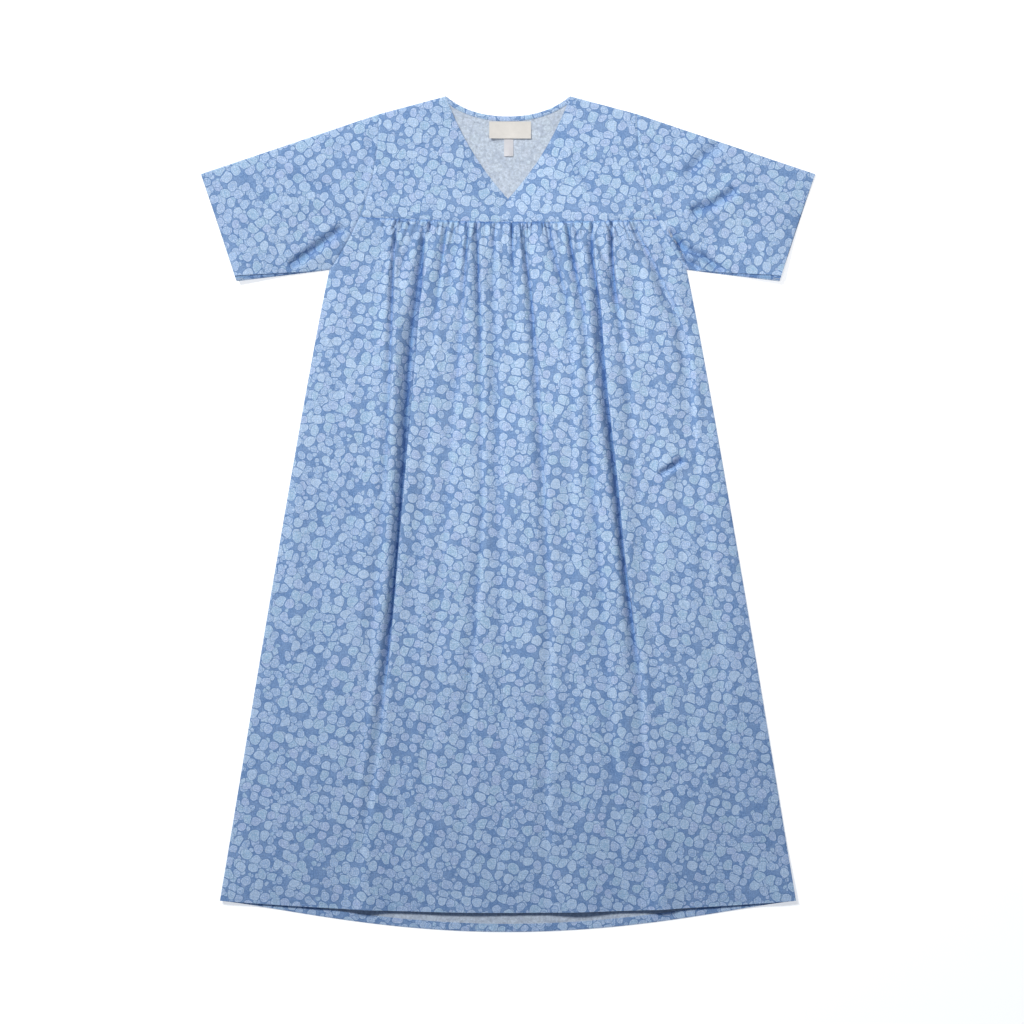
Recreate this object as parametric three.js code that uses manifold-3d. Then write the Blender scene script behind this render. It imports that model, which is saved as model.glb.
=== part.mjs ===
// A short-sleeved pull-over patient gown, laid flat on its back.
// +Y runs from the hem to the neck, +X is the wearer's left, +Z is up from the table.
// The origin is under the middle of the gown's outline. All sizes are in millimetres.
import * as THREE from 'three';
import { mergeVertices } from 'three/addons/utils/BufferGeometryUtils.js';
import Module from 'manifold-3d';

const wasm = await Module();
wasm.setup();

// Body outline
const totalLength = 1170; // neck point to the lowest point of the back hem
const hemWidth = 806; // between the two hem corners
const hemRise = 44; // hem corners above the lowest point of the back hem
const hemDrop = 24.5; // back hem below the front hem at the centre
const chestWidth = 500; // underarm to underarm
const underarmDepth = 243; // neck point down to the underarm
const yokeDepth = 175; // neck point down to the yoke seams

// Neck and shoulders
const neckWidth = 174;
const frontNeckDepth = 143;
const backNeckDepth = 28.5;
const neckBow = 17; // how far the V edges' control point stands out from a straight line
const shoulderWidth = 362; // armhole top to armhole top
const shoulderDrop = 25; // neck point down to the armhole top
const neckBindingWidth = 6.5;

// Sleeves
const sleeveLength = 263;
const sleeveSlope = THREE.MathUtils.degToRad(18.6);
const cuffWidth = 159;
const sleeveHemDepth = 20;
const foldOutboard = 26; // the sleeve's fold line outboard of the underarm

// Hems and seams
const bodyHemDepth = 10;
const seamAllowance = 8;

// Labels
const neckLabelWidth = 58.5;
const neckLabelHeight = 24;
const neckLabelOffset = 3; // its middle, towards the wearer's left
const sizeLabelWidth = 13;
const sizeLabelHeight = 24.5;
const sizeLabelOffset = 1;

// Thicknesses and heights
const cloth = 1; // a panel
const trim = 0.8; // a hem, binding or seam allowance
const labelThickness = 0.6;
const tubeEdge = 2; // the folded cloth along a sleeve's upper and lower edge
const innerHeight = 7.4; // free height between the back and the front
const gatherHeight = 6; // how high the front skirt's folds stand
const gatherCount = 12;
const gatherAtSeam = 0.4; // share of their height the folds have right at the yoke seam
const gatherRise = 30; // how fast they reach all of it below the seam
const gatherFade = 0.5; // share of it lost by the hem
const clearance = 0.3; // between neighbouring pieces
const seamGap = 0.4; // between panels that a seam joins
const hemRingClearance = 0.6; // between a sleeve and the hem ring inside it
const seamBackset = 1; // upper end of a side seam below the underarm
const stripBackset = 2; // ends of inner hems and seams, from the side or armhole seams
const shoulderSeamStart = 12; // from the neck point, past the neck bindings
const armholeSeamInset = 2; // seam ring's upper end below the armhole top
const armholeSeamLift = 8; // seam ring's lower end above the underarm
const armholeSeamEnd = 4; // solid length at each end of the seam ring
const cutOverrun = 20; // how far a cutting solid passes the faces it opens

// Where the curves' control points sit
const armholeTopPull = 3; // inboard of the armhole top
const armholeUpperShare = 0.37; // of the armhole's height, down from its top
const armholeLowerShare = 0.27; // of the armhole's height, up from the underarm
const armholeInShare = 0.65; // of the armhole's width, inboard from the underarm
const sideOutShare = 0.22; // of the side seam's width, outboard from the underarm
const sideDownShare = 0.175; // of the side seam's height, down from the underarm
const backNeckShare = 0.62; // of the half neck width
const facingFrom = 0.02; // ends of the neck facings along the V edge
const facingTo = 0.97;

// How many straight lengths stand for a curve
const neckSteps = 14;
const yokeArmholeSteps = 12;
const armholeSteps = 16;
const seamSteps = 14;
const hemSteps = 16;
const bisections = 40; // halvings that find a height on a curve

// Levels
const zBackTrim = cloth + clearance;
const zFront = cloth + innerHeight;
const zFrontTrim = zFront - clearance - trim;
const trimSpan = zFront - clearance - zBackTrim;
const zTop = zFront + cloth;

// Key points of the wearer's left half
const point = (x, y) => new THREE.Vector2(x, y);
const neckY = totalLength / 2;
const yokeY = neckY - yokeDepth;
const neckPoint = point(neckWidth / 2, neckY);
const neckV = point(0, neckY - frontNeckDepth);
const backNeck = point(0, neckY - backNeckDepth);
const armholeTop = point(shoulderWidth / 2, neckY - shoulderDrop);
const underarm = point(chestWidth / 2, neckY - underarmDepth);
const hemCorner = point(hemWidth / 2, hemRise - totalLength / 2);
const sleeveAlong = point(Math.cos(sleeveSlope), -Math.sin(sleeveSlope));
const sleeveDown = point(-Math.sin(sleeveSlope), -Math.cos(sleeveSlope));
const cuffTop = armholeTop.clone().addScaledVector(sleeveAlong, sleeveLength);
const cuffBottom = cuffTop.clone().addScaledVector(sleeveDown, cuffWidth);
const foldX = underarm.x + foldOutboard;

// Curves of the wearer's left half
const armholeHeight = armholeTop.y - underarm.y;
const armhole = new THREE.CubicBezierCurve(
  armholeTop,
  point(armholeTop.x - armholeTopPull, armholeTop.y - armholeUpperShare * armholeHeight),
  point(
    underarm.x - armholeInShare * (underarm.x - armholeTop.x),
    underarm.y + armholeLowerShare * armholeHeight,
  ),
  underarm,
);
const sideSeam = new THREE.QuadraticBezierCurve(
  underarm,
  point(
    underarm.x + sideOutShare * (hemCorner.x - underarm.x),
    underarm.y + sideDownShare * (hemCorner.y - underarm.y),
  ),
  hemCorner,
);
const neckEdgeLine = neckPoint.clone().sub(neckV);
const neckBowOut = point(neckEdgeLine.y, -neckEdgeLine.x).normalize().multiplyScalar(neckBow);
const frontNeckEdge = new THREE.QuadraticBezierCurve(
  neckV,
  neckV.clone().add(neckPoint).multiplyScalar(0.5).add(neckBowOut),
  neckPoint,
);
const backNeckEdge = new THREE.QuadraticBezierCurve(
  backNeck,
  point(backNeckShare * neckPoint.x, backNeck.y),
  neckPoint,
);

// The parameter at which a curve that falls all the way reaches height y
function parameterAt(curve, y) {
  let low = 0;
  let high = 1;
  for (let i = 0; i < bisections; i++) {
    const middle = (low + high) / 2;
    if (curve.getPoint(middle).y > y) low = middle;
    else high = middle;
  }
  return low;
}

// Points of a curve from one parameter to another
function stretch(curve, from, to, count) {
  return Array.from({ length: count + 1 }, (_, i) => curve.getPoint(from + ((to - from) * i) / count));
}

// Half width of the body at height y, below the armhole top
function halfWidth(y) {
  const curve = y > underarm.y ? armhole : sideSeam;
  const edge = curve.getPoint(parameterAt(curve, y)).x;
  return y > underarm.y ? edge - seamGap / 2 : edge;
}

const mirrored = (points) => points.map((p) => point(-p.x, p.y));
const shifted = (points, dx) => points.map((p) => point(p.x + dx, p.y));
const bothSides = (points) => [...points, ...mirrored(points).reverse()];
const onSide = (points, side) => (side > 0 ? points : mirrored(points));

// A flat piece of one outline, from height z upwards
function slab(outline, z, thickness) {
  const geometry = new THREE.ExtrudeGeometry(new THREE.Shape(outline), {
    depth: thickness,
    bevelEnabled: false,
  });
  return geometry.translate(0, 0, z);
}

// The line of points, moved sideways to its right by a distance
function offsetLine(points, distance) {
  return points.map((p, i) => {
    const before = points[Math.max(i - 1, 0)];
    const after = points[Math.min(i + 1, points.length - 1)];
    const along = after.clone().sub(before).normalize();
    return point(p.x + along.y * distance, p.y - along.x * distance);
  });
}

// A strip to the right of a line, between two distances from it
function strip(points, near, far) {
  return [...offsetLine(points, near), ...offsetLine(points, far).reverse()];
}

// A plain geometry as a solid, and back
function solid(geometry) {
  const bare = geometry.clone();
  bare.deleteAttribute('normal');
  bare.deleteAttribute('uv');
  const merged = mergeVertices(bare);
  return new wasm.Manifold(
    new wasm.Mesh({
      numProp: 3,
      vertProperties: new Float32Array(merged.attributes.position.array),
      triVerts: new Uint32Array(merged.index.array),
    }),
  );
}

function cutFrom(geometry, ...tools) {
  const mesh = tools.reduce((left, tool) => left.subtract(solid(tool)), solid(geometry)).getMesh();
  const result = new THREE.BufferGeometry();
  result.setAttribute('position', new THREE.BufferAttribute(mesh.vertProperties, 3));
  result.setIndex(new THREE.BufferAttribute(mesh.triVerts, 1));
  result.computeVertexNormals();
  return result;
}

// A closed sheet over a grid of rows and columns: place(row, column) gives its lower surface
function sheet(rows, columns, thickness, place) {
  const positions = [];
  const index = [];
  const perRow = columns + 1;
  const layer = (rows + 1) * perRow;
  for (const lift of [0, thickness]) {
    for (let r = 0; r <= rows; r++) {
      for (let c = 0; c <= columns; c++) {
        const [x, y, z] = place(r, c);
        positions.push(x, y, z + lift);
      }
    }
  }
  const quad = (a, b, c, d) => index.push(a, b, c, a, c, d);
  const at = (r, c) => r * perRow + c;
  for (let r = 0; r < rows; r++) {
    for (let c = 0; c < columns; c++) {
      quad(at(r, c), at(r, c + 1), at(r + 1, c + 1), at(r + 1, c));
      quad(layer + at(r, c), layer + at(r + 1, c), layer + at(r + 1, c + 1), layer + at(r, c + 1));
    }
  }
  const wall = (a, b) => quad(a, layer + a, layer + b, b);
  for (let c = 0; c < columns; c++) {
    wall(at(0, c), at(0, c + 1));
    wall(at(rows, c + 1), at(rows, c));
  }
  for (let r = 0; r < rows; r++) {
    wall(at(r + 1, 0), at(r, 0));
    wall(at(r, columns), at(r + 1, columns));
  }
  const geometry = new THREE.BufferGeometry();
  geometry.setAttribute('position', new THREE.Float32BufferAttribute(positions, 3));
  geometry.setIndex(index);
  geometry.computeVertexNormals();
  return geometry;
}

// Yokes: from the neck edge over the shoulder and down the armhole to the yoke seam
function yoke(neckEdge, z) {
  const atSeam = parameterAt(armhole, yokeY + seamGap / 2);
  const neck = stretch(neckEdge, 0, 1, neckSteps);
  const armholeSide = shifted(stretch(armhole, 0, atSeam, yokeArmholeSteps), -seamGap / 2);
  const half = [...neck, ...armholeSide];
  return slab([...mirrored(half).reverse(), ...half.slice(1)], z, cloth);
}

// Skirts: rows follow the armhole and the side seam, and sag towards the middle of the hem
const armholeRows = 4;
const sideRows = 18;
const foldColumns = 4; // columns in each fold
const backColumns = 12;

function skirtRow(row) {
  const top = yokeY - seamGap / 2;
  if (row <= armholeRows) return top + ((underarm.y - top) * row) / armholeRows;
  return underarm.y + ((hemCorner.y - underarm.y) * (row - armholeRows)) / sideRows;
}

function skirt(z, sag, columns, rise) {
  const top = skirtRow(0);
  return sheet(armholeRows + sideRows, columns, cloth, (row, column) => {
    const y = skirtRow(row);
    const across = (2 * column) / columns - 1;
    const down = (top - y) / (top - hemCorner.y);
    return [across * halfWidth(y), y - sag * down * (1 - across * across), z + rise(across, down)];
  });
}

// The front's gathers: waves across, whose height changes on the way down
const fold = (across) => 0.5 - 0.5 * Math.cos(Math.PI * gatherCount * (across + 1));
const foldHeight = (down) =>
  gatherHeight * Math.min(gatherAtSeam + gatherRise * down, 1) * (1 - gatherFade * down);

// Points along a body hem, from the wearer's right to the left, within a half width
function hemLine(sag, half) {
  return Array.from({ length: hemSteps + 1 }, (_, i) => {
    const x = half * ((2 * i) / hemSteps - 1);
    const across = x / hemCorner.x;
    return point(x, hemCorner.y - sag * (1 - across * across));
  });
}

const frontSag = hemRise - hemDrop;
const hemBandHalf = hemCorner.x - seamAllowance - stripBackset;
const hemBand = (sag, z) => slab(strip(hemLine(sag, hemBandHalf), -bodyHemDepth, 0), z, trim);

// Inner strips that hold the yokes' gathered seams
function yokeSeam(z) {
  const top = yokeY + seamAllowance;
  const half = halfWidth(top) - seamAllowance - stripBackset;
  return slab(bothSides([point(half, yokeY), point(half, top)]), z, trim);
}

// Sleeves: a flattened tube, cut by the fold line into a head and the part that folds
const topEdgeAt = (x) => armholeTop.y + ((x - armholeTop.x) * sleeveAlong.y) / sleeveAlong.x;
const lowerSlope = (cuffBottom.y - underarm.y) / (cuffBottom.x - underarm.x);
const lowerEdgeAt = (x) => underarm.y + (x - underarm.x) * lowerSlope;

function sleeveHead(side) {
  const x = foldX - clearance / 2;
  const outline = [
    ...shifted(stretch(armhole, 0, 1, armholeSteps), seamGap / 2),
    point(x, lowerEdgeAt(x)),
    point(x, topEdgeAt(x)),
  ];
  const inboard = armholeTop.x - cutOverrun;
  const outboard = foldX + cutOverrun;
  const hollow = [
    point(inboard, topEdgeAt(inboard) - tubeEdge),
    point(outboard, topEdgeAt(outboard) - tubeEdge),
    point(outboard, lowerEdgeAt(outboard) + tubeEdge),
    point(underarm.x, underarm.y + tubeEdge),
    point(inboard, underarm.y + tubeEdge),
  ];
  return cutFrom(slab(onSide(outline, side), 0, zTop), slab(onSide(hollow, side), cloth, innerHeight));
}

// A point of the sleeve, by its distance back from the cuff and down from the upper edge
const fromCuff = (back, down) =>
  cuffTop.clone().addScaledVector(sleeveAlong, -back).addScaledVector(sleeveDown, down);

function foldingSleeve(side) {
  const x = foldX + clearance / 2;
  const outline = [point(x, topEdgeAt(x)), cuffTop, cuffBottom, point(x, lowerEdgeAt(x))];
  const inboard = foldX - cutOverrun;
  const hollow = [
    point(inboard, topEdgeAt(inboard) - tubeEdge),
    fromCuff(-cutOverrun, tubeEdge),
    fromCuff(-cutOverrun, cuffWidth - tubeEdge),
    cuffBottom.clone().addScaledVector(sleeveDown, -tubeEdge),
    point(inboard, lowerEdgeAt(inboard) + tubeEdge),
  ];
  return cutFrom(slab(onSide(outline, side), 0, zTop), slab(onSide(hollow, side), cloth, innerHeight));
}

// How much deeper the sleeve gets for each millimetre back from the cuff
const lowerEdge = cuffBottom.clone().sub(underarm);
const lowerEdgeTurn = -lowerEdge.dot(sleeveDown) / lowerEdge.dot(sleeveAlong);

// The turned-up cloth at the cuff: a flattened ring inside the sleeve
function sleeveHem(side) {
  const band = (inset, from, to) => {
    const nearEdge = tubeEdge + inset;
    const lowerAt = (back) => cuffWidth - nearEdge + back * lowerEdgeTurn;
    return [
      fromCuff(from, nearEdge),
      fromCuff(to, nearEdge),
      fromCuff(to, lowerAt(Math.max(to, 0))),
      fromCuff(from, lowerAt(Math.max(from, 0))),
    ];
  };
  const outline = band(hemRingClearance, clearance, sleeveHemDepth);
  const hollow = band(hemRingClearance + trim, -cutOverrun, sleeveHemDepth + cutOverrun);
  return cutFrom(
    slab(onSide(outline, side), zBackTrim, trimSpan),
    slab(onSide(hollow, side), zBackTrim + trim, trimSpan - 2 * trim),
  );
}

// A flattened ring around the armhole: the seam allowance that joins sleeve and body
function armholeSeam(side) {
  const upper = armholeTop.y - armholeSeamInset;
  const lower = underarm.y + armholeSeamLift;
  const run = (top, bottom, near, far) => {
    const line = stretch(armhole, parameterAt(armhole, top), parameterAt(armhole, bottom), seamSteps);
    return onSide(strip(line, near, far), side);
  };
  return cutFrom(
    slab(run(upper, lower, seamGap / 2, seamAllowance), zBackTrim, trimSpan),
    slab(
      run(upper - armholeSeamEnd, lower + armholeSeamEnd, -seamAllowance, 2 * seamAllowance),
      zBackTrim + trim,
      trimSpan - 2 * trim,
    ),
  );
}

function sideSeamStrip(side) {
  const line = stretch(sideSeam, parameterAt(sideSeam, underarm.y - seamBackset), 1, seamSteps);
  return slab(onSide(strip(line, 0, seamAllowance), side), zBackTrim, trimSpan);
}

function shoulderSeam(side) {
  const along = armholeTop.clone().sub(neckPoint).normalize();
  const start = neckPoint.clone().addScaledVector(along, shoulderSeamStart);
  const end = armholeTop.clone().addScaledVector(along, -seamAllowance - stripBackset);
  return slab(onSide(strip([start, end], 0, seamAllowance), side), zBackTrim, trimSpan);
}

// Neck finishing
function backNeckBinding() {
  const left = stretch(backNeckEdge, 0, 1, neckSteps);
  const line = [...mirrored(left).reverse(), ...left.slice(1)];
  return slab(strip(line, 0, neckBindingWidth), zBackTrim, trim);
}

function neckFacing(side) {
  const line = stretch(frontNeckEdge, facingFrom, facingTo, neckSteps);
  return slab(onSide(strip(line, 0, neckBindingWidth), side), zFrontTrim, trim);
}

// Labels hang from their sewn upper edges
const neckLabelTop = backNeck.y - neckBindingWidth - clearance;
const sizeLabelTop = neckLabelTop - neckLabelHeight - clearance;

function label(width, height, offset, top) {
  const geometry = new THREE.BoxGeometry(width, height, labelThickness);
  return geometry.translate(offset, top - height / 2, zBackTrim + labelThickness / 2);
}

const printedCotton = { color: 0x9cb9dc, roughness: 0.9 };
const seamCotton = { color: 0x86a6cf, roughness: 0.9 };
const labelTape = { color: 0xf1ede6, roughness: 0.6 };

const gown = new THREE.Group();

function add(name, geometry, finish) {
  const mesh = new THREE.Mesh(geometry, new THREE.MeshStandardMaterial(finish));
  mesh.name = name;
  gown.add(mesh);
}

const gathered = (across, down) => fold(across) * foldHeight(down);

add('back_yoke', yoke(backNeckEdge, 0), printedCotton);
add('back_skirt', skirt(0, hemRise, backColumns, () => 0), printedCotton);
add('front_yoke', yoke(frontNeckEdge, zFront), printedCotton);
add('front_skirt', skirt(zFront, frontSag, gatherCount * foldColumns, gathered), printedCotton);
add('back_yoke_seam', yokeSeam(zBackTrim), seamCotton);
add('front_yoke_seam', yokeSeam(zFrontTrim), seamCotton);
add('back_hem', hemBand(hemRise, zBackTrim), seamCotton);
add('front_hem', hemBand(frontSag, zFrontTrim), seamCotton);
add('back_neck_binding', backNeckBinding(), seamCotton);
add('neck_label', label(neckLabelWidth, neckLabelHeight, neckLabelOffset, neckLabelTop), labelTape);
add('size_label', label(sizeLabelWidth, sizeLabelHeight, sizeLabelOffset, sizeLabelTop), labelTape);
for (const [name, side] of [['left', 1], ['right', -1]]) {
  add(`${name}_neck_facing`, neckFacing(side), seamCotton);
  add(`${name}_shoulder_seam`, shoulderSeam(side), seamCotton);
  add(`${name}_side_seam`, sideSeamStrip(side), seamCotton);
  add(`${name}_armhole_seam`, armholeSeam(side), seamCotton);
  add(`${name}_sleeve_head`, sleeveHead(side), printedCotton);
  add(`${name}_sleeve`, foldingSleeve(side), printedCotton);
  add(`${name}_sleeve_hem`, sleeveHem(side), seamCotton);
}

export default gown;
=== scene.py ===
import math

import bpy
import numpy as np
from mathutils import Matrix, Vector
from mathutils.bvhtree import BVHTree


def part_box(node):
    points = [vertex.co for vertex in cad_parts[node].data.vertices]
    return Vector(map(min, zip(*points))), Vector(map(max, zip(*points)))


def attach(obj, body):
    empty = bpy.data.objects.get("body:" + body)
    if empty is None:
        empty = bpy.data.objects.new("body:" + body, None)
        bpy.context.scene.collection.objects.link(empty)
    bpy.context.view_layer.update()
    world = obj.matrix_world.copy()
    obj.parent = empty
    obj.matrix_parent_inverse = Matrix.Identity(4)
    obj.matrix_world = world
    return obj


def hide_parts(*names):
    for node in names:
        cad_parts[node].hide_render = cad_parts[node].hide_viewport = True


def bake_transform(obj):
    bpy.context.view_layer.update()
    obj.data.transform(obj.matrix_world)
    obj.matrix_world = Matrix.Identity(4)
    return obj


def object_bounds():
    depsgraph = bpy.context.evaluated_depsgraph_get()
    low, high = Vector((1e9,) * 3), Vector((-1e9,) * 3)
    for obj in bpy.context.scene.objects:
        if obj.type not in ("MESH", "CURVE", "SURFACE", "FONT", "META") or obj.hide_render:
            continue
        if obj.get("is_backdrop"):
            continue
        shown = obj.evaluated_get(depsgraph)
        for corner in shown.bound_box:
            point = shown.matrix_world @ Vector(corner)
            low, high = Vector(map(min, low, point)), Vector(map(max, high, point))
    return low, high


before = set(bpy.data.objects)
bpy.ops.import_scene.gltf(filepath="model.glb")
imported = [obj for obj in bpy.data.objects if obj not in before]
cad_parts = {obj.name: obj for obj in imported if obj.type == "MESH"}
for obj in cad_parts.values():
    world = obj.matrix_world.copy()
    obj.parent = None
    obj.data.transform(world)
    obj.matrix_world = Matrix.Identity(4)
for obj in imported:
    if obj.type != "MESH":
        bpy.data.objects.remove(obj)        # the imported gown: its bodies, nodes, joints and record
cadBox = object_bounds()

# All lengths are in metres. +Y runs from hem to neck, +X is the wearer's left, +Z is up.
bodyLow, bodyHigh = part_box("front_skirt")
sleeveLow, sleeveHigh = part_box("left_sleeve")
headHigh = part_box("left_sleeve_head")[1]
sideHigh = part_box("left_side_seam")[1]
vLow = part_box("left_neck_facing")[0]
foldX = (headHigh.x + sleeveLow.x) / 2

gown = {
    "neckY": cadBox[1].y,
    "neckHalf": 0.087,
    "frontNeckY": vLow.y + 0.001,  # the V's point
    "backNeckDepth": 0.0285,
    "neckBow": 0.017,
    "yokeY": bodyHigh.y,
    "yokeBow": [-0.002, -0.0015, 0.0055],  # sag, tilt and curve of the yoke seam
    "yokeReach": 0.2,
    "shoulderDrop": 0.025,
    "armholeHalf": 0.181,
    "underarmY": sideHigh.y + 0.001,
    "underarmHalf": 0.25,
    "hemHalf": bodyHigh.x,
    "hemCornerY": cadBox[0].y + 0.044,
    "frontHemY": bodyLow.y + 0.0025,
    "backHemY": cadBox[0].y,
    "cuffTopX": sleeveHigh.x,
    "sleeveSlope": math.radians(18.6),
    "cuffWidth": 0.159,
    "armholePulls": [(-0.003, 0.37), (0.65, 0.27)],  # how it leaves the shoulder and meets the underarm
    "sidePull": (0.22, 0.175),
    "backNeckPull": 0.62,
    "clothThickness": 0.0005,
}


def curve2(a, b, c, count):
    t = np.linspace(0, 1, count)[:, None]
    a, b, c = (np.array(p, float) for p in (a, b, c))
    return a * (1 - t) ** 2 + 2 * b * t * (1 - t) + c * t**2


def curve3(a, b, c, d, count):
    t = np.linspace(0, 1, count)[:, None]
    a, b, c, d = (np.array(p, float) for p in (a, b, c, d))
    return a * (1 - t) ** 3 + 3 * b * t * (1 - t) ** 2 + 3 * c * t**2 * (1 - t) + d * t**3


# Outline of the wearer's left half
neckPoint = (gown["neckHalf"], gown["neckY"])
neckV = (0, gown["frontNeckY"])
backNeck = (0, gown["neckY"] - gown["backNeckDepth"])
armTop = (gown["armholeHalf"], gown["neckY"] - gown["shoulderDrop"])
underarm = (gown["underarmHalf"], gown["underarmY"])
hemCorner = (gown["hemHalf"], gown["hemCornerY"])
slopeSin, slopeCos = math.sin(gown["sleeveSlope"]), math.cos(gown["sleeveSlope"])
cuffTop = (gown["cuffTopX"], armTop[1] - (gown["cuffTopX"] - armTop[0]) * math.tan(gown["sleeveSlope"]))
cuffBottom = (cuffTop[0] - gown["cuffWidth"] * slopeSin, cuffTop[1] - gown["cuffWidth"] * slopeCos)
armDrop = armTop[1] - underarm[1]
(topIn, topDown), (lowIn, lowUp) = gown["armholePulls"]
armholeLine = curve3(
    armTop,
    (armTop[0] + topIn, armTop[1] - topDown * armDrop),
    (underarm[0] - lowIn * (underarm[0] - armTop[0]), underarm[1] + lowUp * armDrop),
    underarm,
    80,
)
sidePull = [start + pull * (end - start) for start, end, pull in zip(underarm, hemCorner, gown["sidePull"])]
sideLine = curve2(underarm, sidePull, hemCorner, 80)
vMiddle = (np.array(neckV) + neckPoint) / 2
vAlong = np.array(neckPoint) - neckV
vOut = np.array((vAlong[1], -vAlong[0])) / np.hypot(*vAlong) * gown["neckBow"]
vLine = curve2(neckV, vMiddle + vOut, neckPoint, 60)
backNeckLine = curve2(backNeck, (gown["backNeckPull"] * neckPoint[0], backNeck[1]), neckPoint, 60)
bodyEdge = np.vstack([armholeLine, sideLine[1:]])


def yokeSeamY(x):  # the yoke seam hangs a little in the middle
    across = x / gown["yokeReach"]
    sag, tilt, bow = gown["yokeBow"]
    return gown["yokeY"] + sag + bow * across**2 + tilt * across


def bodyHalf(y):
    return np.interp(-y, -bodyEdge[:, 1], bodyEdge[:, 0])


def distanceTo(line, x, y):
    best = np.full(np.shape(x), np.inf)
    for (ax, ay), (bx, by) in zip(line[:-1], line[1:]):
        dx, dy = bx - ax, by - ay
        t = np.clip(((x - ax) * dx + (y - ay) * dy) / (dx * dx + dy * dy), 0, 1)
        best = np.minimum(best, np.hypot(x - ax - t * dx, y - ay - t * dy))
    return best


def smoothStep(t):
    return t * t * (3 - 2 * t)


def softNoise(x, y, sizeX, sizeY, seed):  # smooth noise from -1 to 1, with bumps of a given size
    cells, middle = 64, 500  # the table repeats, and its middle is far from its corner
    table = np.random.default_rng(seed).uniform(-1, 1, (cells, cells))
    u, v = np.asarray(x) / sizeX + middle, np.asarray(y) / sizeY + middle
    i, j = np.floor(u).astype(int), np.floor(v).astype(int)
    across, up = smoothStep(u - i), smoothStep(v - j)
    low, high = (
        table[i % cells, row % cells] * (1 - across) + table[(i + 1) % cells, row % cells] * across
        for row in (j, j + 1)
    )
    return low * (1 - up) + high * up


def waves(x, y, rows):  # each row is a height, two sizes and a seed
    return sum(height * softNoise(x, y, *sizes) for height, *sizes in rows)


# How the gown lies: the back on the table, the front over it, closed along its folded and sewn edges
lie = {
    "backZ": 0.0003,
    "backWaves": [(0.0001, 0.05, 0.09, 11)],
    "edgeZ": 0.0014,
    "edgeRound": 0.003,  # how far in the rolled edge reaches
    "edgeBulge": 0.0012,
    "rise": 0.0046,
    "reach": 0.024,
    "crown": 0.006,  # extra height towards the middle of the body
    "crownReach": 0.11,
    "openLow": 0.0026,  # height of the cloth along the neck, hem and cuff edges
    "openReach": 0.03,
    "corners": [(cuffBottom, 0.006, 0.06), (hemCorner, 0.004, 0.05)],  # lifted places: height and reach
    "wrinkles": [(0.0009, 0.06, 0.07, 3), (0.0005, 0.022, 0.03, 4)],
    "wrinkleStart": 0.03,  # how far from a closed edge they are full
    "creaseRim": 0.35,  # height beside a crease as a share of its depth
    "creaseRimReach": 3,
    "seamDip": 0.0009,
    "seamWidth": 0.0017,
    "shadeDepth": 0.0105,  # a dent this deep gets the full painted shade
    "shadeSpread": 1.35,  # how far past a dent its painted shade reaches, in its widths
}
closedEdges = [
    np.vstack([neckPoint, armTop, cuffTop]),
    np.vstack([cuffBottom, underarm, sideLine[4::5]]),
]
creases = [  # dents in the cloth: points, depth and width
    ([(-0.236, 0.396), (-0.262, 0.377), (-0.3, 0.35)], 0.0075, 0.0062),
    ([(0.23, 0.392), (0.25, 0.371), (0.277, 0.358), (0.297, 0.342)], 0.0075, 0.0045),
    ([(0.238, 0.379), (0.25, 0.355), (0.264, 0.346)], 0.006, 0.0045),
    ([(0.314, 0.45), (0.289, 0.434), (0.262, 0.424)], 0.0082, 0.006),
    ([(0.292, 0.514), (0.27, 0.498), (0.255, 0.48)], 0.0045, 0.008),
    ([(0.216, 0.058), (0.229, 0.065), (0.241, 0.074)], 0.0065, 0.0045),
    ([(-0.3, 0.47), (-0.25, 0.455)], 0.0016, 0.01),
    ([(-0.19, 0.53), (-0.196, 0.49), (-0.21, 0.46)], 0.0016, 0.006),
    ([(0.2, 0.52), (0.215, 0.49)], 0.0016, 0.006),
    ([(0.093, 0.5), (0.104, 0.474), (0.118, 0.452)], 0.0022, 0.005),
]


def cornerLift(x, y):
    height = 0
    for corner, lift, reach in lie["corners"]:
        away = np.hypot(np.abs(x) - corner[0], y - corner[1])
        height = height + lift * np.exp(-((away / reach) ** 2))
    return height


def frontZ(x, y):  # the outside of the front, the same on both sides of every seam
    side = np.abs(x)
    away = np.minimum(*(distanceTo(edge, side, y) for edge in closedEdges))
    roll = 1 - np.clip(away / lie["edgeRound"], 0, 1)
    z = lie["edgeZ"] + lie["edgeBulge"] * np.sqrt(1 - roll**2)
    z = z + lie["rise"] * (1 - np.exp(-away / lie["reach"]))
    z = z + lie["crown"] * (1 - np.exp(-((away / lie["crownReach"]) ** 2)))
    z = z + np.clip(away / lie["wrinkleStart"], 0, 1) * waves(x, y, lie["wrinkles"])
    for line, depth, width in creases:
        near = distanceTo(line, x, y) / width
        rim = lie["creaseRim"] * depth * np.exp(-((near / lie["creaseRimReach"]) ** 2))
        z = z - depth * np.exp(-(near**2)) + rim
    toCuff = distanceTo([cuffTop, cuffBottom], side, y)
    toV = distanceTo(vLine[::4], side, y)
    low = lie["openLow"]
    for gap in (toCuff, toV):
        z = np.minimum(z, low + (z - low) * (1 - np.exp(-gap / lie["openReach"])))
    toSeam = distanceTo(armholeLine[::4], side, y)
    return z - lie["seamDip"] * np.exp(-((toSeam / lie["seamWidth"]) ** 2)) + cornerLift(x, y)


def creaseShade(x, y):  # painted shade: 1 in the deepest dents, 0 on open cloth
    shade = 0
    for line, depth, width in creases:
        near = distanceTo(line, x, y) / (width * lie["shadeSpread"])
        shade = shade + depth / lie["shadeDepth"] * np.exp(-(near**2))
    return np.clip(shade, 0, 1)


def backZ(x, y):  # the outside of the back, just off the table
    return lie["backZ"] + waves(x, y, lie["backWaves"]) + cornerLift(x, y)


def backInside(x, y):
    return backZ(x, y) + gown["clothThickness"]


def frontInside(x, y):
    return frontZ(x, y) - gown["clothThickness"]


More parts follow.
